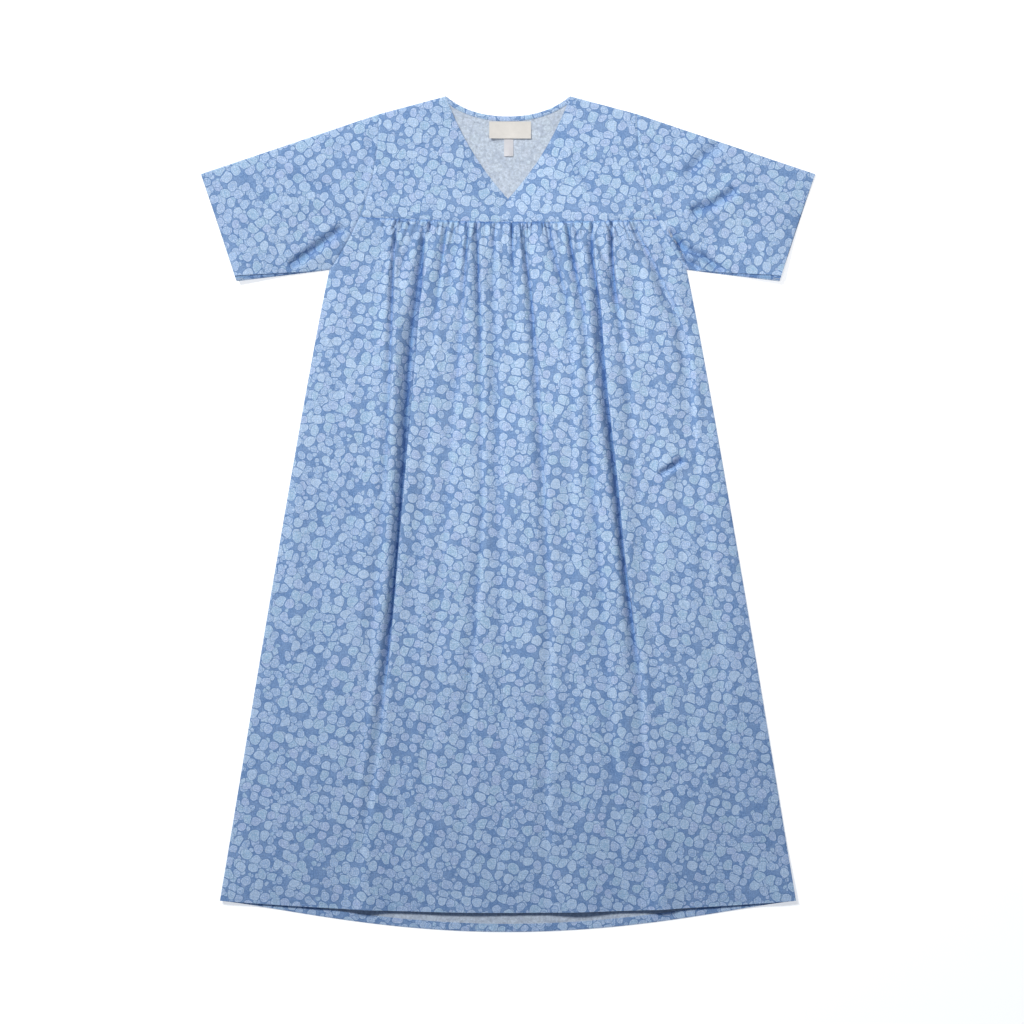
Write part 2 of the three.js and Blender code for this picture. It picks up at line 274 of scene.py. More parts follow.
print("outline and lie ready")


# Tools for cloth pieces
def selectNothing():
    for other in bpy.context.selected_objects:
        other.select_set(False)


def useAlone(o):
    selectNothing()
    o.select_set(True)
    bpy.context.view_layer.objects.active = o


def applyModifier(o, kind, **settings):
    useAlone(o)
    modifier = o.modifiers.new(kind.title(), kind)
    for name, value in settings.items():
        setattr(modifier, name, value)
    bpy.ops.object.modifier_apply(modifier=modifier.name)


def clothPiece(name, patches, materials, thickness=gown["clothThickness"], paintedShades=None):
    # each patch is a grid of places, the same grid on the cut cloth, and whether it faces up
    corners, quads, cut = [], [], []
    for points, flat, printUp in patches:
        rows, columns = points.shape[:2]
        first = len(corners)
        corners.extend(points.reshape(-1, 3).tolist())
        index = first + np.arange(rows * columns).reshape(rows, columns)
        ring = np.stack([index[:-1, :-1], index[1:, :-1], index[1:, 1:], index[:-1, 1:]], -1)
        down, along = points[1:, :-1] - points[:-1, :-1], points[:-1, 1:] - points[:-1, :-1]
        facing = (down[..., 0] * along[..., 1] - down[..., 1] * along[..., 0]).sum()
        if (facing > 0) != printUp:
            ring = ring[..., ::-1]
        quads.extend(ring.reshape(-1, 4).tolist())
        cut.append(flat.reshape(-1, 2)[ring.reshape(-1) - first])
    mesh = bpy.data.meshes.new(name)
    mesh.from_pydata(corners, [], quads)
    mesh.uv_layers.new(name="cut").data.foreach_set("uv", np.vstack(cut).astype(np.float32).ravel())
    # painted shade for folds, dents and seams, kept on the mesh as the valley attribute
    if paintedShades:
        paintedShadeValues = np.concatenate([valley.ravel() for valley in paintedShades]).astype(np.float32)
        mesh.attributes.new("valley", "FLOAT", "POINT").data.foreach_set("value", paintedShadeValues)
    for material in materials:
        mesh.materials.append(material)
    o = bpy.data.objects.new(name, mesh)
    bpy.context.scene.collection.objects.link(o)
    useAlone(o)
    bpy.ops.object.mode_set(mode="EDIT")
    bpy.ops.mesh.select_all(action="SELECT")
    bpy.ops.mesh.remove_doubles(threshold=0.00001)
    bpy.ops.object.mode_set(mode="OBJECT")
    applyModifier(o, "SOLIDIFY", thickness=thickness, offset=-1, material_offset=len(materials) - 1)
    bpy.ops.object.shade_smooth_by_angle(angle=math.radians(60))
    return o


def declare(o, body, nodes):
    if body:
        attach(o, body)
    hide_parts(*nodes)


def runAlong(line):
    return np.concatenate([[0], np.cumsum(np.hypot(*np.diff(line, axis=0).T))])


def evenly(line, step, skipStart=0.0, skipEnd=0.0):  # places and left-hand normals along a line
    line = np.array(line, float)
    run = runAlong(line)
    count = max(int(round((run[-1] - skipStart - skipEnd) / step)), 2) + 1
    at = np.linspace(skipStart, run[-1] - skipEnd, count)
    place = np.stack([np.interp(at, run, line[:, k]) for k in (0, 1)], -1)
    along = np.gradient(place, axis=0)
    along = along / np.hypot(*along.T)[:, None]
    return place, np.stack([-along[:, 1], along[:, 0]], -1), at


def ribbon(line, profile, base, printUp, shift, step, skipStart=0.0, skipEnd=0.0):
    # a strip along a line; profile lists how far to the left each row lies and its height over base
    place, normal, at = evenly(line, step, skipStart, skipEnd)
    offsets, lifts = np.array(profile, float).T
    plan = place[:, None] + normal[:, None] * offsets[None, :, None]
    z = base(plan[..., 0], plan[..., 1]) + lifts
    across = np.concatenate([[0], np.cumsum(np.hypot(np.diff(offsets), np.diff(lifts)))])
    flat = np.dstack(np.broadcast_arrays(at[:, None] + shift, across[None] + shift))
    return np.dstack([plan, z]), flat, printUp


def fillBetween(bottom, top, left, right, rows, columns):  # a grid between four edge lines
    def along(line, t):
        line = np.array(line, float)
        run = runAlong(line)
        return np.stack([np.interp(t * run[-1], run, line[:, k]) for k in (0, 1)], -1)

    u, v = np.linspace(0, 1, columns), np.linspace(0, 1, rows)
    b, t = along(bottom, u)[None], along(top, u)[None]
    l, r = along(left, v)[:, None], along(right, v)[:, None]
    u, v = u[None, :, None], v[:, None, None]
    lower = (1 - u) * b[:, :1] + u * b[:, -1:]
    upper = (1 - u) * t[:, :1] + u * t[:, -1:]
    return (1 - v) * (b - lower) + v * (t - upper) + (1 - u) * l + u * r


# Nodes and materials
def addNode(tree, kind, inputs, **settings):
    made = tree.nodes.new(kind)
    for name, value in settings.items():
        setattr(made, name, value)
    for name, value in inputs.items():
        if isinstance(value, bpy.types.NodeSocket):
            tree.links.new(value, made.inputs[name])
        else:
            made.inputs[name].default_value = value
    return made


def calc(tree, operation, a, b=0.0, c=0.0, clamp=False):
    made = addNode(tree, "ShaderNodeMath", {0: a, 1: b, 2: c}, operation=operation, use_clamp=clamp)
    return made.outputs[0]


def vectorCalc(tree, operation, a, b=(0, 0, 0), c=(0, 0, 0)):
    return addNode(tree, "ShaderNodeVectorMath", {0: a, 1: b, 2: c}, operation=operation).outputs[0]


def scaled(tree, vector, amount):
    return addNode(tree, "ShaderNodeVectorMath", {0: vector, "Scale": amount}, operation="SCALE").outputs[0]


def rotated(tree, vector, angle):
    inputs = {"Vector": vector, "Angle": angle}
    return addNode(tree, "ShaderNodeVectorRotate", inputs, rotation_type="Z_AXIS").outputs[0]


def noise(tree, vector, scale, detail, **more):
    return addNode(tree, "ShaderNodeTexNoise", {"Vector": vector, "Scale": scale, "Detail": detail, **more})


def mixColor(tree, amount, a, b, blend="MIX"):
    inputs = {0: amount, 6: a, 7: b}
    return addNode(tree, "ShaderNodeMix", inputs, data_type="RGBA", blend_type=blend).outputs[2]


def ramp(tree, value, low, high):  # 0 below low, 1 above high, smooth between
    inputs = {"Value": value, "From Min": low, "From Max": high}
    return addNode(tree, "ShaderNodeMapRange", inputs, interpolation_type="SMOOTHSTEP").outputs["Result"]


def newGroup(name, inputs, outputs):
    tree = bpy.data.node_groups.new(name, "ShaderNodeTree")
    for direction, sockets in (("INPUT", inputs), ("OUTPUT", outputs)):
        for label, kind, *value in sockets:
            socket = tree.interface.new_socket(name=label, in_out=direction, socket_type="NodeSocket" + kind)
            if value:
                socket.default_value = value[0]
    return tree, tree.nodes.new("NodeGroupInput").outputs, tree.nodes.new("NodeGroupOutput").inputs


def useGroup(tree, group, inputs):
    return addNode(tree, "ShaderNodeGroup", inputs, node_tree=group).outputs


def newMaterial(name):
    material = bpy.data.materials.new(name)
    material.use_nodes = True
    tree = material.node_tree
    return material, tree, tree.nodes["Principled BSDF"].inputs


petalLook = {  # sizes in cells of the scatter
    "drifts": [(0.6, 0.65), (3.4, 0.07)],  # broad drift, then wobbly edges: scale and amount
    "squash": (0.34, 0.92),  # how much narrower than round a petal is: how that varies, and its least value
    "sizeSpread": 0.16,
    "gap": 0.025,  # half of the gap between two petals that touch
    "softEdge": 0.05,
    "outline": (-0.005, 0.045),  # how far in from the edge it lies, and its width
    "rims": [(0.08, 0.045), (0.23, 0.05)],
    "innerRim": 0.7,  # strength of the second
}
fullTurn = 6.283


def petalLayer():  # one scatter of petals: where they are, their outline, their pale rims and a tint for each
    tree, given, result = newGroup(
        "petal layer",
        [
            ("Vector", "Vector"),
            ("Spacing", "Float", 0.014),
            ("Radius", "Float", 0.45),
            ("Share", "Float", 1.0),
            ("Shift", "Float", 0.0),
            ("Randomness", "Float", 0.7),
            ("Turn", "Float", 0.0),
        ],
        [("Fill", "Float"), ("Outline", "Float"), ("Rim", "Float"), ("Tint", "Float")],
    )
    link = tree.links.new

    turned = rotated(tree, given["Vector"], given["Turn"])
    place = scaled(tree, turned, calc(tree, "DIVIDE", 1.0, given["Spacing"]))
    place = vectorCalc(tree, "ADD", place, given["Shift"])
    for scale, amount in petalLook["drifts"]:
        drift = noise(tree, place, scale, 1.0).outputs["Color"]
        centred = vectorCalc(tree, "SUBTRACT", drift, (0.5, 0.5, 0.5))
        place = vectorCalc(tree, "MULTIPLY_ADD", centred, (amount, amount, 0.0), place)
    values = {"Vector": place, "Scale": 1.0, "Randomness": given["Randomness"]}
    cells, edges = (
        addNode(tree, "ShaderNodeTexVoronoi", values, voronoi_dimensions="2D", feature=feature).outputs
        for feature in ("F1", "DISTANCE_TO_EDGE")
    )
    chance = addNode(tree, "ShaderNodeSeparateColor", {0: cells["Color"]}).outputs
    fromMiddle = vectorCalc(tree, "SUBTRACT", place, cells["Position"])
    petal = rotated(tree, fromMiddle, calc(tree, "MULTIPLY", chance[1], fullTurn))
    narrow = calc(tree, "MULTIPLY_ADD", chance[2], *petalLook["squash"])
    stretch = addNode(tree, "ShaderNodeCombineXYZ", {0: 1.0, 1: narrow, 2: 0.0}).outputs[0]
    oval = vectorCalc(tree, "MULTIPLY", petal, stretch)
    length = addNode(tree, "ShaderNodeVectorMath", {0: oval}, operation="LENGTH").outputs["Value"]
    uneven = calc(tree, "SUBTRACT", chance[0], 0.5)
    radius = calc(tree, "MULTIPLY_ADD", uneven, petalLook["sizeSpread"], given["Radius"])
    inside = calc(tree, "SUBTRACT", radius, length)
    inside = calc(tree, "MINIMUM", inside, calc(tree, "SUBTRACT", edges["Distance"], petalLook["gap"]))
    present = calc(tree, "LESS_THAN", chance[2], given["Share"])

    def band(middle, width):
        off = calc(tree, "DIVIDE", calc(tree, "ABSOLUTE", calc(tree, "SUBTRACT", inside, middle)), width)
        return calc(tree, "MULTIPLY", calc(tree, "SUBTRACT", 1.0, off, clamp=True), present)

    outerRim, innerRim = (band(*rim) for rim in petalLook["rims"])
    innerRim = calc(tree, "MULTIPLY", innerRim, petalLook["innerRim"])
    link(calc(tree, "MULTIPLY", ramp(tree, inside, 0.0, petalLook["softEdge"]), present), result["Fill"])
    link(band(*petalLook["outline"]), result["Outline"])
    link(calc(tree, "ADD", outerRim, innerRim), result["Rim"])
    link(chance[0], result["Tint"])
    return tree


weaveLook = {
    "slubs": [(900.0, 60.0, 1.0), (60.0, 900.0, 1.0)],  # thick places in the threads, both ways
    "crinkle": 260.0,
    "waveHeight": 0.25,
    "slubHeight": 0.5,
}


def clothWeave():  # threads both ways, slubs and fine crinkle, as a height and a shade
    tree, given, result = newGroup(
        "cloth weave",
        [("Vector", "Vector"), ("Pitch", "Float", 0.0005)],
        [("Height", "Float"), ("Shade", "Float"), ("Crinkle", "Float")],
    )
    link = tree.links.new
    parts = addNode(tree, "ShaderNodeSeparateXYZ", {0: given["Vector"]})
    turns = calc(tree, "DIVIDE", fullTurn, given["Pitch"])
    warpWave, weftWave = (
        calc(tree, "SINE", calc(tree, "MULTIPLY", parts.outputs[i], turns)) for i in (0, 1)
    )
    crossed = calc(tree, "MULTIPLY", warpWave, weftWave)
    slubs = []
    for squeeze in weaveLook["slubs"]:
        placed = addNode(tree, "ShaderNodeMapping", {"Vector": given["Vector"], "Scale": squeeze})
        slubs.append(noise(tree, placed.outputs[0], 1.0, 1.0).outputs[0])
    slub = calc(tree, "SUBTRACT", calc(tree, "ADD", *slubs), 1.0)
    crinkle = noise(tree, given["Vector"], weaveLook["crinkle"], 3.0, Roughness=0.6).outputs[0]
    raisedSlub = calc(tree, "MULTIPLY", slub, weaveLook["slubHeight"])
    height = calc(tree, "MULTIPLY_ADD", crossed, weaveLook["waveHeight"], raisedSlub)
    link(calc(tree, "ADD", height, crinkle), result["Height"])
    link(slub, result["Shade"])
    link(crinkle, result["Crinkle"])
    return tree


printLook = {
    "ground": (0.165, 0.262, 0.445, 1),
    "groundDeep": (0.125, 0.22, 0.405, 1),
    "petal": (0.27, 0.385, 0.575, 1),
    "petalLight": (0.34, 0.455, 0.625, 1),
    "petalBlue": (0.225, 0.34, 0.54, 1),
    "petalLilac": (0.285, 0.37, 0.575, 1),
    "petalAqua": (0.265, 0.4, 0.56, 1),
    "speck": (0.5, 0.6, 0.725, 1),
    "outline": (0.09, 0.172, 0.345, 1),
    "valley": (0.41, 0.57, 0.78, 1),  # painted shade: colour multiplied in where folds, dents and seams lie in shade
    "tints": ["petalBlue", "petal", "petalLilac", "petal", "petalLight", "petalAqua"],
    "clouds": (60.0, 0.38, 0.62),  # noise scale, and where its ramp starts and ends
    "flecks": (420.0, 0.48, 0.62),
    "grain": 640.0,
    "groundFlecks": 0.5,  # strengths
    "petalFlecks": 0.55,
    "rim": 0.5,
    "fill": 0.9,
    "line": 0.75,
    "slubShade": 0.35,
    "layers": [  # spacing, radius, share of cells, shift, randomness, turn
        (0.0084, 0.4, 0.5, 23.4, 0.9, 0.9),
        (0.0146, 0.44, 0.55, 13.7, 0.7, 1.2),
        (0.0156, 0.45, 0.97, 0.0, 0.45, 0.35),
    ],
}


def petalPrint(layer):
    tree, given, result = newGroup(
        "petal print",
        [("Vector", "Vector"), ("Shade", "Float", 0.0)],
        [("Color", "Color")],
    )

    def share(value, amount):
        return calc(tree, "MULTIPLY", value, printLook[amount])

    grain = noise(tree, given["Vector"], printLook["grain"], 2.0, Roughness=0.7).outputs[0]
    flecks, clouds = (
        ramp(tree, noise(tree, given["Vector"], scale, 2.0).outputs[0], low, high)
        for scale, low, high in (printLook["flecks"], printLook["clouds"])
    )
    color = mixColor(tree, clouds, printLook["ground"], printLook["groundDeep"])
    color = mixColor(tree, share(flecks, "groundFlecks"), color, printLook["petalBlue"])
    names = ("Spacing", "Radius", "Share", "Shift", "Randomness", "Turn")
    for values in printLook["layers"]:
        scatter = useGroup(tree, layer, {"Vector": given["Vector"], **dict(zip(names, values))})
        tints = addNode(tree, "ShaderNodeValToRGB", {"Fac": scatter["Tint"]})
        for i, name in enumerate(printLook["tints"]):
            place = 0.1 + 0.8 * i / (len(printLook["tints"]) - 1)
            stop = tints.color_ramp.elements[i] if i < 2 else tints.color_ramp.elements.new(place)
            stop.position = place
            stop.color = printLook[name]
        petal = mixColor(tree, share(flecks, "petalFlecks"), tints.outputs[0], printLook["speck"])
        petal = mixColor(tree, share(scatter["Rim"], "rim"), petal, printLook["speck"])
        color = mixColor(tree, share(scatter["Fill"], "fill"), color, petal)
        color = mixColor(tree, share(scatter["Outline"], "line"), color, printLook["outline"])
    shade = calc(tree, "ADD", calc(tree, "SUBTRACT", grain, 0.5), 1.0)
    shade = calc(tree, "MULTIPLY_ADD", given["Shade"], printLook["slubShade"], shade)
    tree.links.new(scaled(tree, color, shade), result["Color"])
    return tree


weaveGroup = clothWeave()
printGroup = petalPrint(petalLayer())
clothLook = {
    "wrongSide": (0.47, 0.5, 0.535, 1),
    "seamColor": (0.4, 0.46, 0.55, 1),
    "showThrough": 0.3,  # how much of the print shows on the wrong side
    "speckle": 1.1,
    "bump": 0.35,
    "seamBump": 0.45,
    "bumpDepth": 0.0004,
    "roughness": (0.15, 0.78),  # how it varies, and its least value
}


def clothMaterial(name, wrong=None, bump=clothLook["bump"]):  # wrong is the wrong side's colour
    material, tree, shader = newMaterial(name)
    link = tree.links.new
    place = addNode(tree, "ShaderNodeUVMap", {}, uv_map="cut").outputs[0]
    threads = useGroup(tree, weaveGroup, {"Vector": place})
    color = useGroup(tree, printGroup, {"Vector": place, "Shade": threads["Shade"]})["Color"]
    if wrong:
        ghost = mixColor(tree, clothLook["showThrough"], wrong, color)
        speck = calc(tree, "SUBTRACT", threads["Crinkle"], 0.5)
        color = scaled(tree, ghost, calc(tree, "MULTIPLY_ADD", speck, clothLook["speckle"], 1.0))
    # painted shade: the colour is multiplied towards blue where the valley attribute marks shaded folds,
    # dents and seams
    valley = addNode(tree, "ShaderNodeAttribute", {}, attribute_name="valley").outputs["Fac"]
    link(mixColor(tree, valley, color, printLook["valley"], "MULTIPLY"), shader["Base Color"])
    link(calc(tree, "MULTIPLY_ADD", threads["Crinkle"], *clothLook["roughness"]), shader["Roughness"])
    shader["Specular IOR Level"].default_value = 0.25
    shader["Sheen Weight"].default_value = 0.06
    shader["Sheen Roughness"].default_value = 0.5
    raised = {"Height": threads["Height"], "Strength": bump, "Distance": clothLook["bumpDepth"]}
    link(addNode(tree, "ShaderNodeBump", raised).outputs[0], shader["Normal"])
    return material


wrongFace = clothMaterial("wrong side", clothLook["wrongSide"])
sheetFaces = [clothMaterial("printed face"), wrongFace]
seamFaces = [clothMaterial("seam allowance", clothLook["seamColor"], clothLook["seamBump"]), wrongFace]


tapeLook = {
    "cream": (0.56, 0.53, 0.49),
    "white": (0.5, 0.49, 0.51),
    "clouds": (180.0, 3.0),  # noise scale and detail
    "tone": (0.12, 0.94),  # how the noise shades the colour, and the least shade
    "roughness": 0.45,
    "ribs": {"Scale": 700.0, "Distortion": 0.4},
    "bump": {"Strength": 0.25, "Distance": 0.0002},
}
threadLook = {"color": (0.13, 0.23, 0.47), "clouds": (1500.0, 2.0), "tone": (0.5, 0.75), "roughness": 0.55}


def plainMaterial(name, color, look):
    material, tree, shader = newMaterial(name)
    place = addNode(tree, "ShaderNodeTexCoord", {}).outputs["Object"]
    cloudy = noise(tree, place, *look["clouds"]).outputs[0]
    shaded = scaled(tree, color, calc(tree, "MULTIPLY_ADD", cloudy, *look["tone"]))
    tree.links.new(shaded, shader["Base Color"])
    shader["Roughness"].default_value = look["roughness"]
    return material, tree, shader, place


def labelMaterial(name, color):
    material, tree, shader, place = plainMaterial(name, color, tapeLook)
    ribs = {"Vector": place, **tapeLook["ribs"]}
    ribs = addNode(tree, "ShaderNodeTexWave", ribs, bands_direction="Y").outputs["Fac"]
    bump = addNode(tree, "ShaderNodeBump", {"Height": ribs, **tapeLook["bump"]})
    tree.links.new(bump.outputs[0], shader["Normal"])
    return material


labelCream = labelMaterial("label tape", tapeLook["cream"])
labelWhite = labelMaterial("size tape", tapeLook["white"])
threadBlue = plainMaterial("blue thread", threadLook["color"], threadLook)[0]
print("materials ready")

# Front skirt
skirtLook = {
    "columns": 436,
    "rows": 108,
    "backGrid": (100, 90),
    "backShift": 1.3,
    "tuckUnder": 0.002,  # how far the gathered edge runs up behind the yoke
    "seamStep": 0.00185,  # how far that edge lies below the yoke's outside
    "ruffleHalf": 0.184,  # half of the gathered stretch of the yoke seam
    "ruffleHeight": 0.0046,
    "lowest": 0.002,
    "dentY": 0.066,
    "hemLifts": [(-0.202, 0.022, 0.005), (-0.06, 0.05, 0.002), (0.1, 0.03, 0.004), (0.214, 0.02, 0.005)],
    "evenOut": 0.07,  # how far down the cloth the spare width evens out
    "ridge": 0.4,  # height beside a fold as a share of its depth
    "lean": 1.05,  # how far a deep fold's right edge leans over it, in fold widths
    "ridgeReach": 3.2,
    "valley": 1.25,
    "foldStart": (0.012, 0.25),  # how far below the seam a fold is full, and its share at the seam
    "edgeFade": 0.014,
    "swells": [(0.0018, 0.02, 0.16, 31), (0.0018, 0.042, 0.2, 32)],
    "swellStart": 0.03,
    "swellEnd": (1.2, 0.9),
    "soft": 0.0005,  # how softly a deep valley meets the lowest height
    "hemPress": (0.7, 0.12),  # how much flatter the folds are at the hem, and how far up that reaches
    "hemLiftReach": 0.05,
    "sewnReach": 0.0045,
    "sewnRise": 0.0002,
    "bendDownTo": 0.2,  # where the rows stop following the bowed yoke seam
    # painted shade for the folds and just under the yoke seam:
    "around": 9,  # columns on each side that a valley is compared with
    "paintedShadeDepth": 0.0035,  # how much lower than its surroundings a fold gets the full painted shade
    "paintedShadeCurve": 1.35,
    "seamShade": 0.002,
    "deep": (0.005, 0.007),  # a fold leans from this depth on, and in full when deeper by this much
    "leanAt": (1.6, 0.9),  # where across the fold the leaning edge is, and its width
    "sides": (1.5, 0.72),  # the soft side and the steep side, in fold widths
}
hems = {  # the front hangs in a plain curve, the back stays up near its corners
    "front": {"middleY": gown["frontHemY"], "curve": 1},
    "back": {"middleY": gown["backHemY"], "curve": 1.25},
}
gridLook = {
    "rowStart": 0.14,  # closer rows near the top
    "dentRows": 6,  # more rows over the small dent
    "dentReach": 0.011,
    "leastColumns": 10,
    "foldColumns": 0.5,  # closer columns at the folds
}
ruffleLook = {
    "wander": (0.75, 1.7, 3),  # amount, and its sizes in pitches and lengths
    "sharpness": 0.75,
    "middle": 0.55,
    "uneven": (0.8, 0.5, 0.6, 1.6, 2),  # least strength, its and the length's variation, sizes as above
    "fadeCurve": 1.3,
    "ends": 0.03,
}
ruffleSteps = [  # distance between gathers, share of the height, how far down they run, seed
    (0.0066, 0.8, 0.016, 21),
    (0.0128, 1.0, 0.036, 22),
    (0.0245, 0.8, 0.14, 23),
    (0.047, 0.6, 0.45, 24),
]
# Each fold is a valley from the yoke down: at each point its x, y, depth and width in millimetres
folds = [
    [(-156, 409, 5, 2.6), (-161, 330, 6.4, 3), (-163, 256, 5.4, 4), (-170, 80, 4.4, 5), (-180, -60, 3.4, 7),
     (-200, -275, 2.4, 9), (-234, -550, 0.8, 10)],
    [(-117, 409, 3.6, 3.0), (-121, 326, 9, 7), (-126, 262, 14.5, 10.5), (-132, 190, 15, 10),
     (-140, 100, 15, 7.8), (-149, 0, 14, 5.6), (-158, -110, 12, 5), (-170, -220, 8, 5.4),
     (-181, -320, 4, 7), (-218, -550, 1.6, 9)],
    [(-85, 409, 4.4, 2.4), (-91, 360, 4.4, 3.4), (-98, 310, 3.6, 5), (-108, 220, 2.0, 7), (-116, 60, 1.4, 8),
     (-150, -550, 0.5, 10)],
    [(-55, 409, 5, 2.4), (-59, 340, 5.6, 3.4), (-65, 270, 4.2, 5), (-80, 100, 2.4, 8), (-94, -100, 1.8, 9),
     (-122, -550, 0.6, 10)],
    [(-43, 409, 5, 2.4), (-41, 350, 5.6, 3.4), (-38, 260, 4.6, 4.8), (-38, 110, 3.6, 6), (-36, 0, 3.4, 6),
     (-44, -120, 2.8, 7), (-56, -280, 2.2, 9), (-66, -550, 0.6, 10)],
    [(-18, 409, 2.4, 2.4), (-20, 370, 4.0, 5), (-18, 300, 4.4, 7), (-16, 220, 3.6, 7), (-12, 90, 2.4, 8),
     (-10, -200, 1.4, 9), (-10, -550, 0.4, 10)],
    [(23, 409, 4.8, 2.2), (26, 355, 5.4, 3.2), (36, 270, 5.6, 5), (43, 150, 5.0, 5.4), (50, 40, 5.0, 5.4),
     (55, -80, 4.0, 6), (58, -250, 2.8, 8), (52, -400, 3.2, 8), (55, -550, 1.0, 10)],
    [(57, 409, 4.4, 2.4), (65, 360, 5.4, 3.6), (82, 307, 5.0, 5), (90, 200, 2.8, 7), (88, 0, 1.4, 8),
     (96, -550, 0.4, 10)],
    [(84, 409, 5, 2.4), (90, 362, 5.8, 3.8), (104, 300, 6, 6), (112, 220, 4.8, 6), (115, 120, 3.4, 6),
     (122, 0, 2.8, 7), (134, -150, 2.2, 8), (160, -550, 0.8, 10)],
    [(117, 409, 5, 2.4), (119, 350, 8, 5), (130, 280, 11, 8), (138, 180, 14, 8), (147, 100, 14, 6),
     (155, 30, 14, 5.6), (163, -60, 12, 5), (171, -130, 8, 5.4), (184, -230, 4, 8), (190, -420, 2.4, 10),
     (200, -550, 1.0, 10)],
    [(145, 409, 5.2, 2.2), (146, 360, 6.6, 3), (151, 305, 7.0, 3.8), (160, 260, 2.6, 5), (175, 100, 1.6, 8),
     (190, -50, 1.2, 8), (215, -260, 1.0, 10), (240, -550, 0.4, 10)],
    [(172, 409, 2, 4), (187, 382, 8, 5.5), (200, 362, 8, 7), (215, 326, 6.4, 7), (229, 300, 8, 8),
     (244, 264, 7, 8), (252, 210, 4.8, 8), (257, 120, 3.4, 9), (268, 30, 2.0, 10), (300, -250, 0.8, 12),
     (335, -550, 0.4, 12)],
]


def foldTable(fold):  # rows of y, x, depth and width in metres, smooth from the hem up
    points = np.array(fold, float)[::-1] / 1000
    y = np.linspace(points[0, 1], points[-1, 1], 240)
    reach = 9  # steps that the smoothing reaches up and down
    window = np.hanning(2 * reach + 3)[1:-1]
    rows = [y]
    for k in (0, 2, 3):
        values = np.pad(np.interp(y, points[:, 1], points[:, k]), reach, mode="edge")
        rows.append(np.convolve(values, window / window.sum(), "valid"))
    return rows


foldTables = [foldTable(fold) for fold in folds]
skirtTopHalf = float(bodyHalf(gown["yokeY"]))


def ruffles(start, below):  # the fine gathers under the yoke seam; start is where a thread leaves the yoke
    height = 0
    amount, wide, long = ruffleLook["wander"]
    least, vary, lengthVary, unevenWide, unevenLong = ruffleLook["uneven"]
    for pitch, share, length, seed in ruffleSteps:
        wander = amount * softNoise(start, below, pitch * wide, length * long, seed)
        wave = np.abs(np.sin(math.pi * (start / pitch + wander))) ** ruffleLook["sharpness"]
        wave = wave - ruffleLook["middle"]
        reach = length * (1 + lengthVary * softNoise(start, 0 * below, pitch * unevenWide, 1.0, seed + 10))
        strength = softNoise(start, below, pitch * unevenWide, length * unevenLong, seed + 20)
        fade = np.exp(-((np.maximum(below, 0) / reach) ** ruffleLook["fadeCurve"]))
        height = height + share * (least + vary * strength) * wave * fade
    inside = np.clip((skirtLook["ruffleHalf"] - np.abs(start)) / ruffleLook["ends"], 0, 1)
    return skirtLook["ruffleHeight"] * height * inside


def foldPlace(table, x, y):  # how far across a fold a place lies: 0 in the valley, 1 to 3 on its right ridge
    tableY, tableX, _, tableWidth = table
    off = (x - np.interp(y, tableY, tableX)) / np.interp(y, tableY, tableWidth)
    softSide, steepSide = skirtLook["sides"]
    return np.where(off < 0, off / softSide, off / steepSide)


def leanOver(x, y):  # the deep folds' right ridges hang over their valleys
    moved = 0
    shallow, more = skirtLook["deep"]
    ridge, reach = skirtLook["leanAt"]
    for table in foldTables:
        tableY, _, tableDepth, tableWidth = table
        deep = np.clip((np.interp(y, tableY, tableDepth) - shallow) / more, 0, 1)
        over = np.exp(-(((foldPlace(table, x, y) - ridge) / reach) ** 2))
        moved = moved + skirtLook["lean"] * deep * np.interp(y, tableY, tableWidth) * over
    return moved


def hemRise(across, hem):
    return (gown["hemCornerY"] - hem["middleY"]) * (1 - np.minimum(np.abs(across), 1) ** 2) ** hem["curve"]


def hemY(x, hem):
    return gown["hemCornerY"] - hemRise(x / gown["hemHalf"], hem)


def skirtZ(x, y):
    below = yokeSeamY(x) - y
    half = bodyHalf(y)
    bodyY = np.minimum(y, yokeSeamY(x))
    flatZ = frontZ(x, bodyY) - cornerLift(x, bodyY)
    fade = np.clip((half - np.abs(x)) / skirtLook["edgeFade"], 0, 1)
    z = flatZ + ruffles(x * skirtTopHalf / half, below)
    full, atSeam = skirtLook["foldStart"]
    for table in foldTables:
        off = foldPlace(table, x, y)
        depth = np.interp(y, table[0], table[2]) * np.clip(below / full + atSeam, 0, 1) * fade
        ridge = skirtLook["ridge"] * np.exp(-((off / skirtLook["ridgeReach"]) ** 2))
        z = z + depth * (ridge - skirtLook["valley"] * np.exp(-(off**2)))
    most, end = skirtLook["swellEnd"]
    swell = fade * waves(x, y, skirtLook["swells"])
    z = z + swell * np.clip(below / skirtLook["swellStart"], 0, 1) * np.clip(most - below / end, 0, 1)
    low, soft = skirtLook["lowest"], skirtLook["soft"]
    z = low + soft * np.logaddexp(0, (z - low) / soft)
    aboveHem = np.maximum(y - hemY(x, hems["front"]), 0)
    press, pressReach = skirtLook["hemPress"]
    z = low + (z - low) * (1 - press * np.exp(-aboveHem / pressReach))
    for middle, width, lift in skirtLook["hemLifts"]:
        z = z + lift * np.exp(-(((x - middle) / width) ** 2) - aboveHem / skirtLook["hemLiftReach"])
    sewn = smoothStep(np.clip((below + skirtLook["tuckUnder"]) / skirtLook["sewnReach"], 0, 1))
    z = (flatZ - skirtLook["seamStep"]) * (1 - sewn) + z * sewn
    return np.maximum(z, np.minimum(flatZ, lie["edgeZ"] + skirtLook["sewnRise"])) + cornerLift(x, y)


